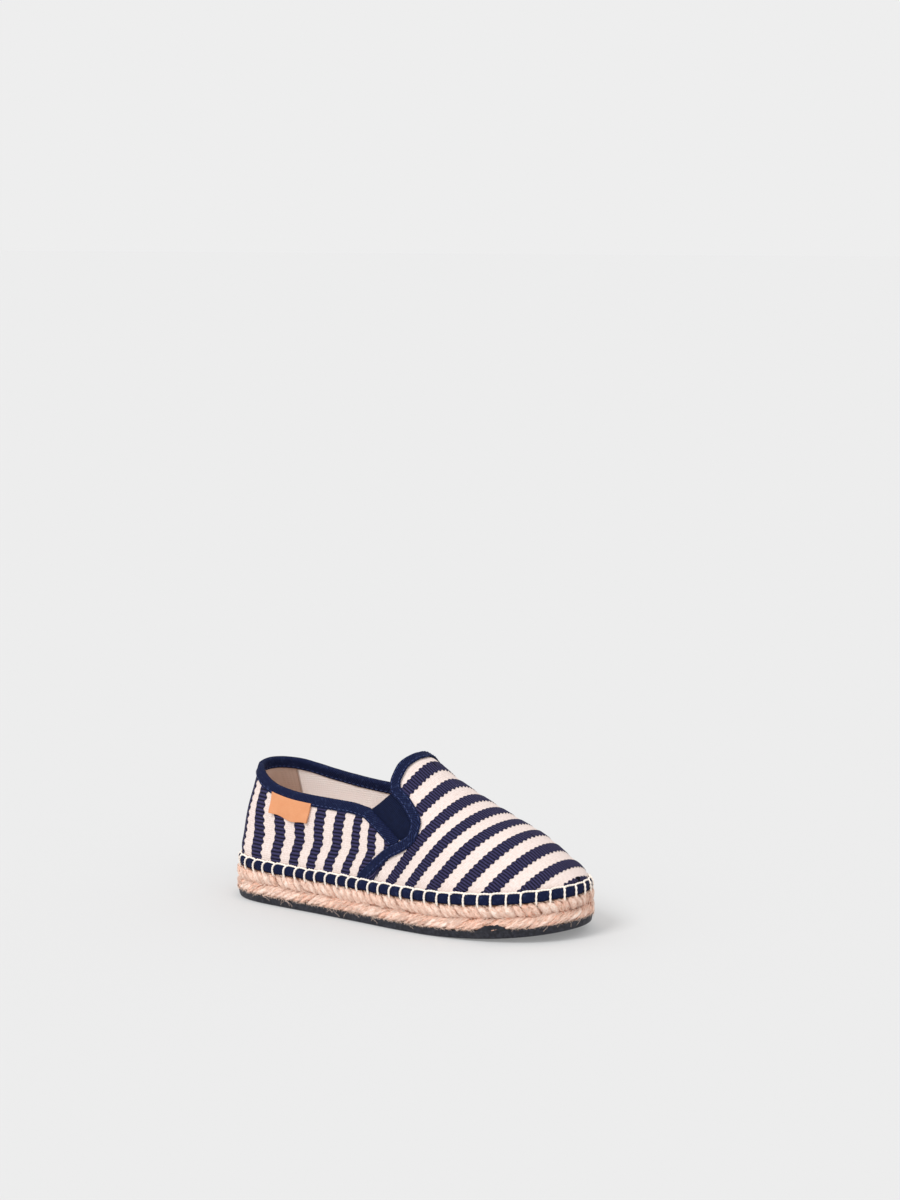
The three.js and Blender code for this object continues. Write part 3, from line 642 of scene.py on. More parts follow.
ridgeShares = np.linspace(vamp["low"] / last["tongue"], 1.05, 1200)
ridgeX = face(1.0, ridgeShares * last["tongue"])[:, 0]
topShare = ridgeShares[np.argmax(ridgeX < vampEdge(ridgeShares))]
ridgeShares = np.linspace(vamp["low"] / last["tongue"], topShare, 600)
ridgePoints = face(1.0, ridgeShares * last["tongue"])
ridgeLengths = travelled(ridgePoints)


def vampPlace(u, v):
    share = np.interp(v * ridgeLengths[-1], ridgeLengths, ridgeShares)
    rise = share * last["tongue"]
    start = turnAt(vampEdge(share), rise)
    return start + (2 - 2 * start) * u, rise


# Length down the side from the ridge, at the same x
sectionX = np.linspace(84, 203, 120)
sectionShare = np.linspace(0, 1, 60)
sectionRidge = np.interp(-sectionX, -ridgePoints[:, 0], ridgeShares * last["tongue"])
sectionRise = sectionRidge[:, None] * (1 - sectionShare[None, :] ** 2)
sectionPoints = face(turnAt(sectionX[:, None], sectionRise), sectionRise)
sectionSteps = np.linalg.norm(np.diff(sectionPoints[:, :, 1:], axis=1), axis=-1)
sectionLengths = np.concatenate([np.zeros((len(sectionX), 1)), np.cumsum(sectionSteps, axis=1)], axis=1)


# Reads a table between its entries. across: place in the row, which may lie past its end.
def readTable(table, row, across):
    row = np.clip(row, 0, len(table) - 1.01)
    i, j = row.astype(int), np.clip(across, 0, table.shape[1] - 1.01).astype(int)
    s, t = row - i, across - j
    near = table[i, j] * (1 - t) + table[i, j + 1] * t
    return near * (1 - s) + (table[i + 1, j] * (1 - t) + table[i + 1, j + 1] * t) * s


def downFromRidge(x, rise):
    ridge = np.interp(x, sectionX, sectionRidge)
    share = np.sqrt(np.clip(1 - rise / np.maximum(ridge, 1), 0, 1)) * (len(sectionShare) - 1)
    return readTable(sectionLengths, (x - sectionX[0]) / (sectionX[1] - sectionX[0]), share)


# Where on the ridge the stripe line through (x, rise) starts
def stripeStart(x, rise):
    low, high = x - 1, x + 60
    nearX, nearSlope = np.array(vamp["fallNear"]).T
    for _ in range(34):
        middle = (low + high) / 2
        ridge = np.interp(-middle, -ridgePoints[:, 0], ridgeShares * last["tongue"])
        down = np.maximum(0, ridge - rise)
        near = np.interp(middle, nearX, nearSlope)
        fall = vamp["fallFar"] * down
        fall -= (vamp["fallFar"] - near) * vamp["fallWithin"] * (1 - np.exp(-down / vamp["fallWithin"]))
        below = middle - fall < x
        low, high = np.where(below, middle, low), np.where(below, high, middle)
    return (low + high) / 2


def vampPattern(points, turn, rise):
    start = stripeStart(points[:, 0], rise)
    count = np.arange(len(vamp["ridgeStripes"]))
    across = np.interp(start, vamp["ridgeStripes"], count * stripes["period"])
    side = np.where(np.mod(turn, 2) <= 1, -1, 1)
    return across, side * downFromRidge(points[:, 0], rise) * vamp["stripeStretch"]


# How far the navy yarns stand up, for a place in the pattern
def yarnHeight(across):
    fromMiddle = np.abs(np.mod(across + stripes["period"] / 2, stripes["period"]) - stripes["period"] / 2)
    return stripes["raised"] * smooth(stripes["navyHalf"] + 0.5, stripes["navyHalf"] - 0.4, fromMiddle)


# The canvas swells a little over the band that grips it
def swelling(rise):
    return 0.5 * np.exp(-(((rise - 9) / 4) ** 2))


# fromEdge: how far a place lies from the edge that a tape covers
def layCloth(name, sizes, placeOf, patternOf, fromEdge):
    piece = flatSheet(name, sizes["columns"], sizes["rows"])
    flat = coordinates(piece)
    turn, rise = placeOf(flat[:, 0], flat[:, 1])
    points = face(turn, rise)
    across, up = patternOf(points, turn, rise)
    free = smooth(1, 4.6, fromEdge(flat[:, 0], flat[:, 1], points, rise))
    out = (creased(points, rise) + yarnHeight(across) + swelling(rise)) * free - 0.1 - 0.3 * (1 - free)
    putPoints(piece, offFace(turn, rise, out))
    giveUv(piece, across, up)
    thicken(piece, vamp["cloth"])
    finish(piece, canvasCloth, "upper", 60)
    print(name, "laid,", len(piece.data.polygons), "faces")


def fromVampEdge(u, v, points, rise):
    return points[:, 0] - vampEdge(rise / last["tongue"])


layCloth("vamp_canvas", vamp, vampPlace, vampPattern, fromVampEdge)

# Quarter: one strip of canvas round the heel, with the seam at the back
quarter = {
    "columns": 330,
    "rows": 62,
    "low": 1.4,
    "under": 1.6,  # cloth's edge below the finished collar
    "front": 2.2,  # past the vamp's edge line
    "frontTop": 0.405,  # where the front edge ends, as a share of the tongue's height
    "stripeRises": [5, 20, 35, 50],
    "stripeArcs": [
        [8.4, 21.1, 38.5, 52.0, 63.9, 75.6, 87.2, 99.1, 109.9, 121.0],
        [7.6, 20.0, 37.4, 52.9, 66.4, 78.7, 91.1, 103.8, 114.7, 126.0],
        [7.0, 18.5, 31.8, 47.0, 61.5, 75.1, 88.5, 100.5, 110.7, 122.0],
        [6.5, 16.5, 28.5, 43.5, 58.5, 72.5, 86.0, 98.0, 108.5, 120.0],
    ],
}


def collarTop(turn, side):
    rise = np.full(np.shape(turn), 45.0)
    for _ in range(25):
        at = face(np.where(side < 0, turn, 2 - turn), rise)[..., 0] / last["length"]
        share = np.where(side < 0, collarOuter(at), collarInner(at))
        rise = last["collarSide"] + (last["collarBack"] - last["collarSide"]) * share
    return rise


# Gores: elastic between the quarter's edge and the vamp's edge
gore = {
    "rear": (0.608, 0.42),  # top and bottom of each side, as shares of the tongue's height
    "front": (0.752, 0.431),
    "columns": 30,
    "rows": 34,
    "tuck": 0.9,
    "thick": 1.0,
    "bulge": 0.5,
    "topDip": 0.8,
    "sunk": 0.6,
}
goreShares = np.linspace(*gore["rear"], 40)
goreTurns = turnAt(quarterEdgeAt(goreShares) * last["length"], goreShares * last["tongue"])


# The quarter's finished top edge as (turn, rise), by share of its length from the heel
def topLine(side):
    turns = np.linspace(0, goreTurns[0], 200)
    rises = collarTop(turns, side)
    turns = np.concatenate([turns, goreTurns[1:]])
    rises = np.concatenate([rises, goreShares[1:] * last["tongue"]])
    lengths = travelled(face(np.where(side < 0, turns, 2 - turns), rises))
    return turns, rises, lengths


# The cloth's own edge, a little inside the finished one
def clothEdge(side):
    turns, rises, _ = topLines[side]
    points = face(-side * turns, rises)
    inward = np.cross(unit(np.cross(*slopes(-side * turns, rises))), unit(np.gradient(points, axis=0)))
    inward = inward * -np.sign(inward[:, 2:])
    turns, rises = nearestOnFace(points + inward * quarter["under"], -side * turns, rises)
    return np.abs(turns), rises


topLines = {side: topLine(side) for side in (-1, 1)}
clothEdges = {side: clothEdge(side) for side in (-1, 1)}


# u: -1 at the inner front, 0 at the heel, 1 at the outer front
def quarterPlace(u, v):
    u = 2 * u - 1
    side = np.where(u > 0, -1, 1)
    far = np.abs(u)
    turn = np.zeros(len(u))
    rise = np.zeros(len(u))
    lowShare = quarter["low"] / last["tongue"]
    frontShare = lowShare + (quarter["frontTop"] - lowShare) * v
    frontX = vampEdgeAt(frontShare) * last["length"] + quarter["front"]
    frontTurn = turnAt(frontX, frontShare * last["tongue"])
    lowTurn = turnAt(vampEdgeAt(lowShare) * last["length"] + quarter["front"], quarter["low"])
    for way in (-1, 1):
        pick = side == way
        turns, rises = clothEdges[way]
        lengths = topLines[way][2]
        at = far[pick] * lengths[-1]
        topTurn = np.interp(at, lengths, turns)
        topRise = np.interp(at, lengths, rises)
        bottomTurn = lowTurn * far[pick]
        t = (1 - v[pick]) * bottomTurn + v[pick] * topTurn
        r = (1 - v[pick]) * quarter["low"] + v[pick] * topRise
        cornerTurn = (1 - v[pick]) * lowTurn + v[pick] * turns[-1]
        cornerRise = (1 - v[pick]) * quarter["low"] + v[pick] * rises[-1]
        pull = far[pick] ** 5
        turn[pick] = t + pull * (frontTurn[pick] - cornerTurn)
        rise[pick] = r + pull * (frontShare[pick] * last["tongue"] - cornerRise)
    return np.where(side < 0, turn, -turn), rise


arcTurns = np.linspace(0, 0.66, 300)
arcTable = np.array([travelled(face(arcTurns, float(rise))[:, :2]) for rise in range(57)])


def arcFromHeel(turn, rise):
    return readTable(arcTable, rise, np.abs(turn) / (arcTurns[1] - arcTurns[0]))


def quarterPattern(points, turn, rise):
    arc = arcFromHeel(turn, rise)
    table = np.array(quarter["stripeArcs"])
    lines = [np.interp(rise, quarter["stripeRises"], table[:, k]) for k in range(table.shape[1])]
    lines = [-lines[0]] + lines
    across = np.full(len(arc), -0.5 * stripes["period"])
    for k in range(len(lines) - 1):
        t = (arc - lines[k]) / (lines[k + 1] - lines[k])
        inside = (arc >= lines[k]) & ((t < 1) | (k == len(lines) - 2))
        across = np.where(inside, (k + t) * stripes["period"], across)
    return across, rise + np.where(turn > 0, 0, 200)


def fromQuarterEdge(u, v, points, rise):
    below = (1 - v) / np.maximum(v, 0.05) * (rise - quarter["low"])
    return np.minimum(below, (1 - np.abs(2 * u - 1)) * 120 + 1)


layCloth("quarter_canvas", quarter, quarterPlace, quarterPattern, fromQuarterEdge)


# Lining: the same shapes on the inside, more coarsely cut
def layLining(name, columns, rows, placeOf):
    piece = flatSheet(name, columns, rows)
    flat = coordinates(piece)
    turn, rise = placeOf(flat[:, 0], flat[:, 1])
    points = face(turn, rise)
    putPoints(piece, offFace(turn, rise, creased(points, rise) + swelling(rise) - 1.25))
    thicken(piece, 0.6)
    finish(piece, lining, "upper", 60)


layLining("vamp_lining", 90, 60, vampPlace)
layLining("quarter_lining", 150, 26, quarterPlace)
print("lining laid")


def layGore(name, node, inner):
    piece = flatSheet(name, gore["columns"], gore["rows"])
    flat = coordinates(piece)
    u, v = flat[:, 0], flat[:, 1]
    rearShare, frontShare = [top + (bottom - top) * v for top, bottom in (gore["rear"], gore["front"])]
    rearX = quarterEdgeAt(rearShare) * last["length"] - gore["tuck"]
    frontX = vampEdgeAt(frontShare) * last["length"] + gore["tuck"]
    x = rearX + (frontX - rearX) * u
    rise = (rearShare + (frontShare - rearShare) * u) * last["tongue"]
    rise = rise - gore["topDip"] * np.sin(np.pi * u) * (1 - v) ** 4
    turn = turnAt(x, rise)
    if inner:
        turn = 2 - turn
    out = gore["bulge"] * np.sin(np.pi * u) * np.sin(np.pi * np.clip(v, 0.02, 1)) - gore["sunk"]
    putPoints(piece, offFace(turn, rise, out))
    giveUv(piece, u * 20, v * 26)
    thicken(piece, gore["thick"])
    finish(piece, elastic, node, 50)


layGore("outer_gore_elastic", "gore_outer", False)
layGore("inner_gore_elastic", "gore_inner", True)
print("gores laid")

# Tapes: a flat strip folded over an edge line of the upper
tapes = {
    "width": 5.4,  # of each leaf
    "thick": 0.7,
    "cell": 1.1,
    "across": 18,
    "leafShare": 0.36,
    "foldDeep": 1.1,
    "ripple": 0.1,
    "vampOver": 0.12,  # the vamp's tape lies over the ends of the collar's
    "endSink": 0.4,
    "stitchLong": 2.0,
    "stitchThick": 0.42,
    "stitchPitch": 2.9,
    "stitchIn": 0.9,  # from the tape's free edge
    "seamIn": 4.0,  # the vamp tape's second row
}


# A line of places on the face, even by length
def edgeLine(turns, rises, step=0.8):
    lengths = travelled(face(turns, rises))
    at = np.linspace(0, lengths[-1], int(lengths[-1] / step))
    return np.interp(at, lengths, turns), np.interp(at, lengths, rises), at


def vampTapeLine():
    share = np.linspace(0.03, 1.0, 500)
    share = share[face(1.0, share * last["tongue"])[:, 0] > vampEdgeAt(share) * last["length"]]
    side = turnAt(vampEdgeAt(share) * last["length"], share * last["tongue"])
    turns = np.concatenate([side, (2 - side)[::-1]])
    return edgeLine(turns, np.concatenate([share, share[::-1]]) * last["tongue"])


def collarTapeLine():
    turnsOuter, risesOuter, _ = topLines[-1]
    turnsInner, risesInner, _ = topLines[1]
    turns = np.concatenate([-turnsInner[::-1], turnsOuter[1:]])
    return edgeLine(turns, np.concatenate([risesInner[::-1], risesOuter[1:]]))


# Place of a strip. q: 0 to 1 across it from the outer free edge over the fold to the inner one.
def tapePlace(line, at, q):
    turns, rises, lengths = line
    turn, rise = np.interp(at, lengths, turns), np.interp(at, lengths, rises)
    before, after = [
        face(np.interp(at + way, lengths, turns), np.interp(at + way, lengths, rises)) for way in (-0.5, 0.5)
    ]
    across = np.cross(unit(after - before), unit(np.cross(*slopes(turn, rise))))
    high = last["wall"] / 2 + 0.55  # half of the fold's height
    leaf = tapes["leafShare"]
    # where the tape lies flat over the seam below the gore, the fold is sharp
    deep = tapes["foldDeep"] * np.interp(rise / last["tongue"], [0.38, 0.46], [0.3, 1])
    angle = np.clip((q - leaf) / (1 - 2 * leaf), 0, 1) * math.pi
    leafAt = np.minimum(np.minimum(q, 1 - q) / leaf, 1)
    inFold = (q > leaf) & (q < 1 - leaf)
    onLeaf = tapes["width"] - (tapes["width"] - deep) * leafAt
    distance = np.where(inFold, deep * (1 - np.sin(angle)), onLeaf)
    turn, rise = nearestOnFace(face(turn, rise) + across * distance[:, None], turn, rise)
    return turn, rise, -last["wall"] / 2 + high * np.cos(angle)


def layTape(name, node, line, over, endSink):
    total = line[2][-1]
    piece = flatSheet(name, int(total / tapes["cell"]), tapes["across"])
    flat = coordinates(piece)
    at, q = flat[:, 0] * total, flat[:, 1]
    turn, rise, out = tapePlace(line, at, q)
    out = out + over - endSink * smooth(6, 2, np.minimum(at, total - at))
    outerLeaf = np.where(q < 0.5, 1, -1)
    edge = np.minimum(q, 1 - q)
    dimple = np.cos(2 * math.pi * at / tapes["stitchPitch"]) * np.exp(-(((edge - 0.09) / 0.05) ** 2))
    out = out + outerLeaf * (tapes["ripple"] * (wander(at, 17, 3) + dimple) - 0.25 * smooth(0.05, 0, edge))
    out = out + np.clip(creased(face(turn, rise), rise), -0.3, 0.3)
    putPoints(piece, offFace(turn, rise, out))
    giveUv(piece, at, q * 2 * tapes["width"])
    thicken(piece, tapes["thick"], 0)
    finish(piece, navyTape, node, 60)


vampTape = vampTapeLine()
collarTape = collarTapeLine()
layTape("vamp_tape", "vamp_binding", vampTape, tapes["vampOver"], 0)
layTape("collar_tape", "collar_binding", collarTape, 0, tapes["endSink"])
print("tapes laid")


# Joins copies of one small piece, each laid by its own place function and with its own tone, which is
# painted darker on the piece's lower parts as shade
def layCopies(name, pattern, placings, material, node):
    vertices = coordinates(pattern)
    faces = [list(p.vertices) for p in pattern.data.polygons]
    points = np.concatenate([place(vertices) for place, _ in placings])
    starts = np.arange(len(placings)) * len(vertices)
    everyFace = [[v + start for v in corner] for start in starts.tolist() for corner in faces]
    mesh = bpy.data.meshes.new(name)
    mesh.from_pydata(((points - np.array(last["middle"])) / 1000).tolist(), [], everyFace)
    piece = bpy.data.objects.new(name, mesh)
    bpy.context.scene.collection.objects.link(piece)
    # Painted shade: each copy's tone falls towards the piece's lower parts and rises on its top
    top = vertices[:, 2] / vertices[:, 2].max()
    tonesAndShade = np.concatenate([toneAndShade * 0.6 + 0.55 * (top - 0.35) for _, toneAndShade in placings])
    values = np.clip(tonesAndShade, 0, 1).astype(np.float32)
    mesh.attributes.new("toneAndShade", "FLOAT", "POINT").data.foreach_set("value", values)
    layer = pattern.data.uv_layers.get("millimetres")
    if layer:
        one = np.empty(len(pattern.data.loops) * 2)
        layer.data.foreach_get("uv", one)
        one = one.reshape(-1, 2)
        shifted = [one + np.array([37.0 * (i % 13), 53.0 * (i % 17)]) for i in range(len(placings))]
        mesh.uv_layers.new(name="millimetres").data.foreach_set("uv", np.concatenate(shifted).ravel())
    bpy.data.objects.remove(pattern)
    finish(piece, material, node, 60)


# A ball drawn out along X, for a stitch or a strand
def drawnBall(segments, rings, size):
    bpy.ops.mesh.primitive_uv_sphere_add(segments=segments, ring_count=rings, radius=0.5, location=(0, 0, 0))
    bpy.ops.object.mode_set(mode="EDIT")
    bpy.ops.mesh.select_all(action="SELECT")
    bpy.ops.transform.rotate(value=math.pi / 2, orient_axis="Y", center_override=(0, 0, 0))
    bpy.ops.transform.resize(value=size, center_override=(0, 0, 0))
    bpy.ops.object.mode_set(mode="OBJECT")
    return bpy.context.object


# Short stitches along a tape that dip into it at both ends. q: their place across it.
def stitchRow(line, q):
    top = (tapes["thick"] / 2 + 0.12) * (-1 if q > 0.5 else 1)
    placings = []
    for at in np.arange(3, line[2][-1] - 3, tapes["stitchPitch"]):

        def place(points, at=at):
            one, two = [tapePlace(line, at + points[:, 0], np.full(len(points), q + by)) for by in (0, 0.02)]
            start, beside = face(*one[:2]), face(*two[:2])
            normal = unit(np.cross(*slopes(*one[:2])))
            across = unit(beside - start) * points[:, 1:2]  # the thread's own width
            return start + normal * (one[2] + top + points[:, 2])[:, None] + across

        placings.append((place, 0.5))
    return placings


def sewTape(name, node, line, shares):
    rows = [placing for q in shares for placing in stitchRow(line, q)]
    stitch = drawnBall(6, 5, (tapes["stitchLong"], tapes["stitchThick"], tapes["stitchThick"]))
    layCopies(name, stitch, rows, navyThread, node)


outerRow = tapes["stitchIn"] / (2 * tapes["width"])
seamRow = tapes["seamIn"] / (2 * tapes["width"])
sewTape("vamp_tape_stitches", "vamp_binding", vampTape, (outerRow, seamRow))
sewTape("collar_tape_stitches", "collar_binding", collarTape, (outerRow, 1 - outerRow))
print("tape stitches sewn")


# Blanket stitches: how many go round the sole, and the band that they pinch
blanket = {
    "count": 66,
    "firstAt": 0.35,  # of the pitch
    "unevenness": 0.28,
    "cord": 0.62,  # half of the cord's width
    "twistEvery": 3.2,
    "pinch": 0.75,
    "pinchReach": 0.95,
    "bandLow": 0.1,
    "bandHigh": 5.3,
    "bandOut": 2.55,
}
toeArc = np.interp(1.0, fineTurns, soleLengths)
bars = (np.arange(blanket["count"]) + blanket["firstAt"]) * girth / blanket["count"]
bars = bars + np.random.default_rng(5).normal(0, blanket["unevenness"], len(bars))


# 1 beside a stitch, 0 between two stitches
def pinched(arc):
    gaps = np.abs(np.mod(arc[:, None] - bars[None, :] + girth / 2, girth) - girth / 2)
    return np.exp(-((gaps.min(1) / blanket["pinchReach"]) ** 2))


def layBand():
    bpy.ops.mesh.primitive_torus_add(major_segments=620, minor_segments=16, major_radius=2, minor_radius=0.5)
    piece = bpy.context.object
    piece.name = piece.data.name = "welt_tape"
    flat = coordinates(piece)
    arc = arcOfRing(flat)
    around = np.arctan2(flat[:, 2], np.hypot(flat[:, 0], flat[:, 1]) - 2)
    up = np.sign(np.sin(around)) * np.abs(np.sin(around)) ** 0.7
    outward = np.sign(np.cos(around)) * np.abs(np.cos(around)) ** 0.75
    tight = pinched(arc)
    middle = (blanket["bandLow"] + blanket["bandHigh"]) / 2
    half = (blanket["bandHigh"] - blanket["bandLow"]) / 2
    rise = middle + up * half * (1 - 0.1 * tight) + 0.18 * wander(arc, 23, 8)
    out = (1 + outward) * blanket["bandOut"] / 2
    out = out + np.maximum(outward, 0) * (0.12 * wander(arc, 9, 4) - blanket["pinch"] * tight)
    putPoints(piece, onFoot(arc, rise, out))
    giveUv(piece, arc, around / math.pi * 8, girth)
    outwards(piece)
    finish(piece, navyTape, "welt_band", 80)


layBand()


# Two plies that twist round a line
def plies(line, radius, twistEvery):
    lengths = travelled(line)
    at = np.linspace(0, lengths[-1], max(4, int(lengths[-1] / 0.55)))
    middle = np.stack([np.interp(at, lengths, line[:, k]) for k in range(3)], -1)
    along = unit(np.gradient(middle, axis=0))
    side = unit(np.cross(along, np.array([0.0, 0.0, 1.0]) + along[:, [1, 2, 0]] * 0.2))
    other = np.cross(along, side)
    turns = [(2 * np.pi * at / twistEvery + np.pi * ply)[:, None] for ply in (0, 1)]
    return [middle + (side * np.cos(turn) + other * np.sin(turn)) * radius * 0.45 for turn in turns]


# Cords or fibres along lines of points, in one mesh. A cord that twists has two plies.
def layCords(name, lines, radius, material, node, twistEvery=0):
    curve = bpy.data.curves.new(name, "CURVE")
    curve.dimensions = "3D"
    curve.bevel_depth = radius * (0.58 if twistEvery else 1) / 1000
    curve.bevel_resolution = 1 if twistEvery else 0
    curve.use_fill_caps = True
    for line in lines:
        for points in plies(line, radius, twistEvery) if twistEvery else [line]:
            points = (points - np.array(last["middle"])) / 1000
            spline = curve.splines.new("POLY")
            spline.points.add(len(points) - 1)
            spline.points.foreach_set("co", np.c_[points, np.ones(len(points))].ravel())
    piece = bpy.data.objects.new(name, curve)
    bpy.context.scene.collection.objects.link(piece)
    selectOnly(piece)
    bpy.ops.object.convert(target="MESH")
    finish(bpy.context.object, material, node, 70)


# One stitch in flat sizes: along, rise and out, from its hole in the jute to the next bar's top
stitchLine = {
    "along": [0.25, 0.2, 0.05, 0, 0.25, 0.95, 1.9, 3.1, 4.6, 6.0, 7.6, 8.6],
    "rise": [-1.7, -1.0, 0.2, 1.8, 3.4, 4.7, 5.5, 5.75, 5.65, 5.55, 5.5, 5.3],
    "out": [0.4, 2.1, 2.7, 2.75, 2.65, 2.35, 1.6, 1.1, 0.95, 0.95, 1.15, 1.5],
    "barEnds": 3,  # past this the thread runs level to the next bar
    "gap": 7.4,  # between two bars, as drawn
    "straightFrom": (130, 175),  # bars stand straighter from here to the toe, along the sole's edge
}


def stitchLines():
    lines = []
    wobble = np.random.default_rng(9)
    start, end = stitchLine["straightFrom"]
    for i, arc in enumerate(bars):
        gap = np.mod(bars[(i + 1) % len(bars)] - arc, girth)
        along, rise, out = [np.array(stitchLine[key]) for key in ("along", "rise", "out")]
        rise = rise + wobble.normal(0, 0.12)
        steep = smooth(start, end, arc) * smooth(toeArc * 2 - start, toeArc * 2 - end, arc)
        straight = along * (1 - 0.75 * steep)
        along = np.where(along > stitchLine["barEnds"], along * gap / stitchLine["gap"], straight)
        steps = np.linspace(0, len(along) - 1, 34)
        line = [column({"i": range(len(v)), "v": list(v)}, "i", "v")(steps) for v in (along, rise, out)]
        lines.append(onFoot(arc + line[0], line[1], line[2]))
    return lines


twist = blanket["twistEvery"]
layCords("blanket_stitches", stitchLines(), blanket["cord"], creamThread, "welt_band", twist)
print("blanket stitches sewn")

# Jute sole: a packed core, and two rows of plait whose strands meet in the crack between them
plait = {
    "pitch": 4.3,
    "long": {"upper": 10.5, "lower": 16.5},
    "wide": {"upper": 4.0, "lower": 3.3},
    "thick": 3.0,
    "low": 3.9,
    "crack": 10.4,
    "high": 16.9,
    "slant": {"upper": -48, "lower": 27},
    "overCrack": 1.5,
    "core": [(3.5, -2.6), (4.2, -1.7), (7, -1.1), (10.4, -2.1), (13.4, -1.1), (16.2, -1.8), (16.9, -2.8)],
    "fibres": 3600,
    "fibre": 0.1,  # half of a fibre's width
    "strays": 46,
    "fringe": 1100,
    "stray": 0.06,
}


def layCore():
    piece, arc, _, height, outset = ringBody("jute_core", 360, plait["core"])
    putPoints(piece, onSole(arc, height, outset))
    outwards(piece)
    finish(piece, juteShade, "jute_sole", 50)


def strandPattern():
    piece = drawnBall(12, 9, (1, 1, plait["thick"]))
    flat = coordinates(piece)
    radius = 2.2
    around = np.arctan2(flat[:, 2], flat[:, 1]) * radius
    giveUv(piece, around, flat[:, 0] * plait["long"]["lower"], 2 * math.pi * radius)
    return piece


def strandPlacings():
    draw = np.random.default_rng(21)
    placings = []
    count = int(girth / plait["pitch"])
    half = (plait["high"] - plait["low"]) / 4
    ends = {"upper": plait["high"], "lower": plait["low"]}
    for row, slant in plait["slant"].items():
        for i in range(count):
            start = (i + (0.5 if row == "lower" else 0)) * girth / count + draw.normal(0, 0.4)
            turned = math.radians(slant + draw.normal(0, 6))
            size = draw.uniform([0.85, 0.85, 0.9], [1.1, 1.3, 1.1])
            size = size * np.array([plait["long"][row], plait["wide"][row], 1])
            tuck = draw.normal(0, 0.16)
            dip = draw.normal(0, 0.3)

            def place(points, start=start, turned=turned, size=size, tuck=tuck, dip=dip, row=row):
                x, y, z = (points * size).T
                y = y + 0.02 * x**2 * (1 if row == "upper" else -1)
                along = x * math.cos(turned) - y * math.sin(turned)
                up = x * math.sin(turned) + y * math.cos(turned)
                # the front end dives under the next strand, and the strand is lumpy along its length
                out = z - 0.13 * x - 0.012 * x**2 - 1.0 + tuck
                out = out + 0.16 * np.sin(x * 1.9 + start * 3) * np.sign(z)
                toCrack = (up < 0) == (row == "upper")
                reach = half * 1.05 + np.where(toCrack, plait["overCrack"], 0)
                above = dip * toCrack + reach * np.tanh(up * 0.9 / half)
                rise = (plait["crack"] + ends[row]) / 2 + above
                return onSole(start + along, rise, out - 0.35 * (above / half) ** 2)

            placings.append((place, float(np.clip(0.5 + draw.normal(0, 0.3), 0, 1))))
    return placings


layCore()
layCopies("jute_plait", strandPattern(), strandPlacings(), jute, "jute_sole")
print("jute plaited")

# Outsole's rim: thin rubber, ragged at its top, with a hump that the fibres leave bare
rim = {
    "stations": 1180,
    "top": 4.3,
    "ragged": 0.6,
    "hump": {"arc": 194, "wide": 6.5, "high": 3.2},
    "levels": [(0, -1.5), (0.35, -0.9), (0.9, -0.6), (2.2, -0.4)]
    + [(3.1, -0.4), (3.1, -0.9), (2.8, -1.6), (2.8, -3.2)],
}


def fromHump(arc):
    return abs(arc - rim["hump"]["arc"])


# Fibres that lie on the strands, along them or astray
def hairLines():
    draw = np.random.default_rng(33)
    lines = []
    t = np.linspace(-0.5, 0.5, 5)
    for k in range(plait["fibres"]):
        arc = draw.random() * girth
        height = draw.uniform(4.4, 16.6)
        if height < 8.5 and fromHump(arc) < 10:
            continue
        row, end = ("upper", "high") if height > plait["crack"] else ("lower", "low")
        long = draw.uniform(1.5, 5)
        astray = k % 4 == 0
        way = math.radians(plait["slant"][row]) + draw.normal(0, 0.9 if astray else 0.25)
        curl = draw.normal(0, 1.6 if astray else 0.5)
        along = long * t * math.cos(way) + curl * t**2
        up = np.clip(height + long * t * math.sin(way) + curl * t**2, 4.2, 16.9)
        bulge = 0.35 - 0.85 * (np.abs(up - (plait["crack"] + plait[end]) / 2) / 3.3) ** 2
        out = bulge + draw.uniform(0, 0.7 if astray else 0.25) * np.cos(np.pi * t)
        lines.append(onSole(arc + along, up, out))
    return lines


# Curled fibres that hang from the plait over the rubber, and the fringe at the plait's lower edge
def strayLines():
    draw = np.random.default_rng(34)
    lines = []
    t = np.linspace(0, 1, 9)
    for _ in range(plait["strays"]):
        arc = draw.random() * girth
        along = draw.normal(0, 3) * t + draw.normal(0, 1.2) * np.sin(np.pi * t * draw.uniform(1, 2))
        up = 5.6 - draw.uniform(2.5, 4.4) * t**1.3
        if fromHump(arc) > 14:
            lines.append(onSole(arc + along, up, 0.1 + 0.5 * np.sin(np.pi * t)))
    for _ in range(plait["fringe"]):
        arc = draw.random() * girth
        along = draw.normal(0, 0.7) * t
        up = 5.2 - draw.uniform(0.5, 1.5) * t
        if fromHump(arc) > 9:
            lines.append(onSole(arc + along, up, 0.75 - 0.3 * t))
    return lines


layCords("jute_hairs", hairLines(), plait["fibre"], hairThread, "jute_sole")
layCords("stray_fibres", strayLines(), plait["stray"], hairThread, "jute_sole")
print("fibres scattered")


def layOutsole():
    piece, arc, level, height, outset = ringBody("rubber_outsole", rim["stations"], rim["levels"])
    hump = rim["hump"]
    jagged = wander(arc, 3.1, 14) * 0.7 + wander(arc, 1.3, 15) * 0.45 + 0.5 * wander(arc, 19, 16)
    rise = rim["top"] - rim["levels"][4][0] + rim["ragged"] * jagged
    rise = rise + hump["high"] * np.exp(-(((arc - hump["arc"]) / hump["wide"]) ** 4))
    atRim = (level == 4) | (level == 5)
    height = height + rise * np.where(atRim, 1, np.where(level == 3, 0.35, 0))
    outset = outset + 0.12 * wander(arc + height * 3, 7, 17) * (height > 0.5)
    outset = outset + np.where(atRim, 0.3 + 0.5 * np.maximum(rise, 0), 0)
    putPoints(piece, onSole(arc, np.maximum(height, 0), outset))
    outwards(piece)
    finish(piece, rubber, "outsole", 35)


layOutsole()
print("outsole moulded")

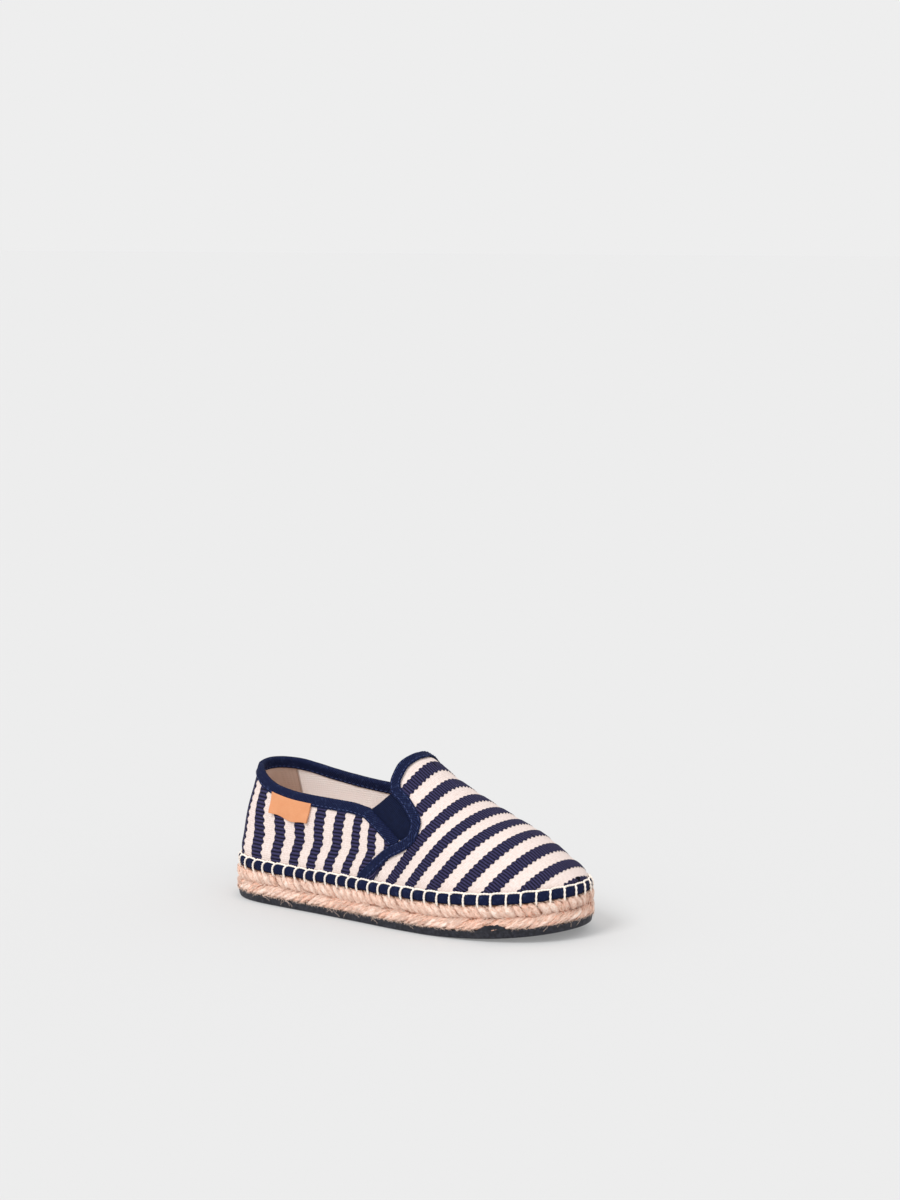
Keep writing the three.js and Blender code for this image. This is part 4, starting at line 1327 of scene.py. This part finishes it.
# Leather tag: blank, under the collar tape on the outer side
tag = {
    "from": 33.4,  # along the shoe
    "to": 60.9,
    "long": 9.4,
    "tucked": 1.4,  # under the collar tape
    "slant": 1.6,
    "ragged": 0.5,  # how wavy its lower edge is cut
    "thick": 1.0,
    "bevel": 0.25,
    "off": 0.35,  # from the canvas
    "curl": 0.9,
    "wavy": 0.35,
}


# An open sheet has no outside of its own, so this one is turned away from the shoe's middle
def faceOut(piece):
    centre = Vector((0, 0, 0.045))
    if sum((p.center - centre).dot(p.normal) * p.area for p in piece.data.polygons) < 0:
        piece.data.flip_normals()


def layTag():
    piece = flatSheet("leather_tag_blank", 34, 16)
    flat = coordinates(piece)
    u, v = flat[:, 0], flat[:, 1]
    x = tag["from"] + (tag["to"] - tag["from"]) * u - tag["slant"] * u * v
    at = x / last["length"]
    collarHigh = last["collarBack"] - last["collarSide"]
    slope = (collarOuter(at + 0.005) - collarOuter(at - 0.005)) * collarHigh / (0.01 * last["length"])
    top = last["collarSide"] + collarHigh * collarOuter(at) - tapes["width"] * np.hypot(1, slope)
    top = top + tag["tucked"]
    cut = tag["ragged"] * v**2 * np.sin(2 * math.pi * (u * 1.4 + 0.45))
    rise = top - (tag["long"] + tag["tucked"]) * v - cut
    turn = turnAt(x, rise)
    corner = smooth(0.6, 1, np.abs(2 * u - 1)) * smooth(0.35, 1, v)
    out = tag["off"] + tag["curl"] * corner + tag["wavy"] * v**2 * np.sin(2 * math.pi * (u * 1.5 + 0.2))
    putPoints(piece, offFace(turn, rise, out + creased(face(turn, rise), rise)))
    outwards(piece)
    faceOut(piece)
    applyModifier(piece, "SOLIDIFY", thickness=tag["thick"] / 1000, offset=1)
    limits = {"limit_method": "ANGLE", "angle_limit": math.radians(50)}
    applyModifier(piece, "BEVEL", width=tag["bevel"] / 1000, segments=2, **limits)
    finish(piece, leather, "leather_tag", 40)


layTag()
print("tag laid")

# The insole keeps the CAD shape
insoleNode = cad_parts["insole"]
insoleNode.data.materials.clear()
insoleNode.data.materials.append(insoleWeave)

# Studio: a pale floor that reaches far behind, a pale sky, two soft lights and the camera
studio = {
    "floor": "#bababa",
    "floorGlow": 0.22,  # keeps the shadows as faint as in the photo
    "sky": "#eeeeee",
    "lights": [
        {"name": "key", "at": (-0.14, -0.83, 0.9), "spread": 24, "power": 1.6},
        {"name": "fill", "at": (1.2, -0.6, 0.8), "spread": 50, "power": 0.35},
    ],
    "aim": (0, 0, 0.03),
}


def studioFloor():
    made, _ = newMaterial("painted_studio_floor", 0.9, gloss=0.0)
    shader = made.node_tree.nodes["Principled BSDF"]
    shader.inputs["Base Color"].default_value = linear(studio["floor"])
    shader.inputs["Emission Color"].default_value = linear("#ffffff")
    shader.inputs["Emission Strength"].default_value = studio["floorGlow"]
    bpy.ops.mesh.primitive_plane_add(size=60, location=(0, 0, -0.0002))
    floor = bpy.context.object
    floor.name = "studio_floor"
    floor.data.materials.append(made)


def studioLights():
    world = bpy.context.scene.world or bpy.data.worlds.new("studio")
    bpy.context.scene.world = world
    world.use_nodes = True
    sky = world.node_tree.nodes["Background"]
    sky.inputs["Color"].default_value = linear(studio["sky"])
    sky.inputs["Strength"].default_value = 1
    for light in studio["lights"]:
        bpy.ops.object.light_add(type="SUN", location=light["at"])
        lamp = bpy.context.object
        lamp.name = light["name"]
        lamp.data.angle = math.radians(light["spread"])
        lamp.data.energy = light["power"]
        way = Vector(studio["aim"]) - Vector(light["at"])
        lamp.rotation_euler = way.to_track_quat("-Z", "Y").to_euler()


studioFloor()
studioLights()
bpy.context.scene.view_settings.view_transform = "Standard"

# Camera: fitted to the outline of the sole and its band in the photograph
view = {
    "azimuth": 36.2,
    "height": 12.5,
    "far": 1.5,
    "target": (0, -0.003488, 0.025),
    "lens": 87.27,
    "picture": (900, 1200),
    "pixel": (407.9, 864),  # where the target falls in the picture
    "pixelsDeep": 2909,  # lens in the picture's pixels
}


# Turned step by step until the target falls on its pixel, with level lines kept level
def aimedCamera():
    heading, height = math.radians(view["azimuth"]), math.radians(view["height"])
    tilt = -height
    level = Vector((math.sin(heading), -math.cos(heading), 0)) * math.cos(height)
    back = level + Vector((0, 0, math.sin(height)))
    wide, high = view["picture"]
    wantedX = (view["pixel"][0] - wide / 2) / view["pixelsDeep"]
    wantedY = (high / 2 - view["pixel"][1]) / view["pixelsDeep"]
    for _ in range(40):
        turned = Euler((math.pi / 2 + tilt, 0, heading), "XYZ")
        seen = turned.to_matrix().transposed() @ -back
        tilt += 0.9 * (seen.y / -seen.z - wantedY)
        heading -= 0.9 * (seen.x / -seen.z - wantedX)
    bpy.ops.object.camera_add(location=Vector(view["target"]) + back * view["far"], rotation=turned)
    return bpy.context.object


camera = aimedCamera()
camera.data.lens = view["lens"]
camera.data.sensor_width = 36
camera.data.clip_start = 0.01
bpy.context.scene.camera = camera
print("studio set")
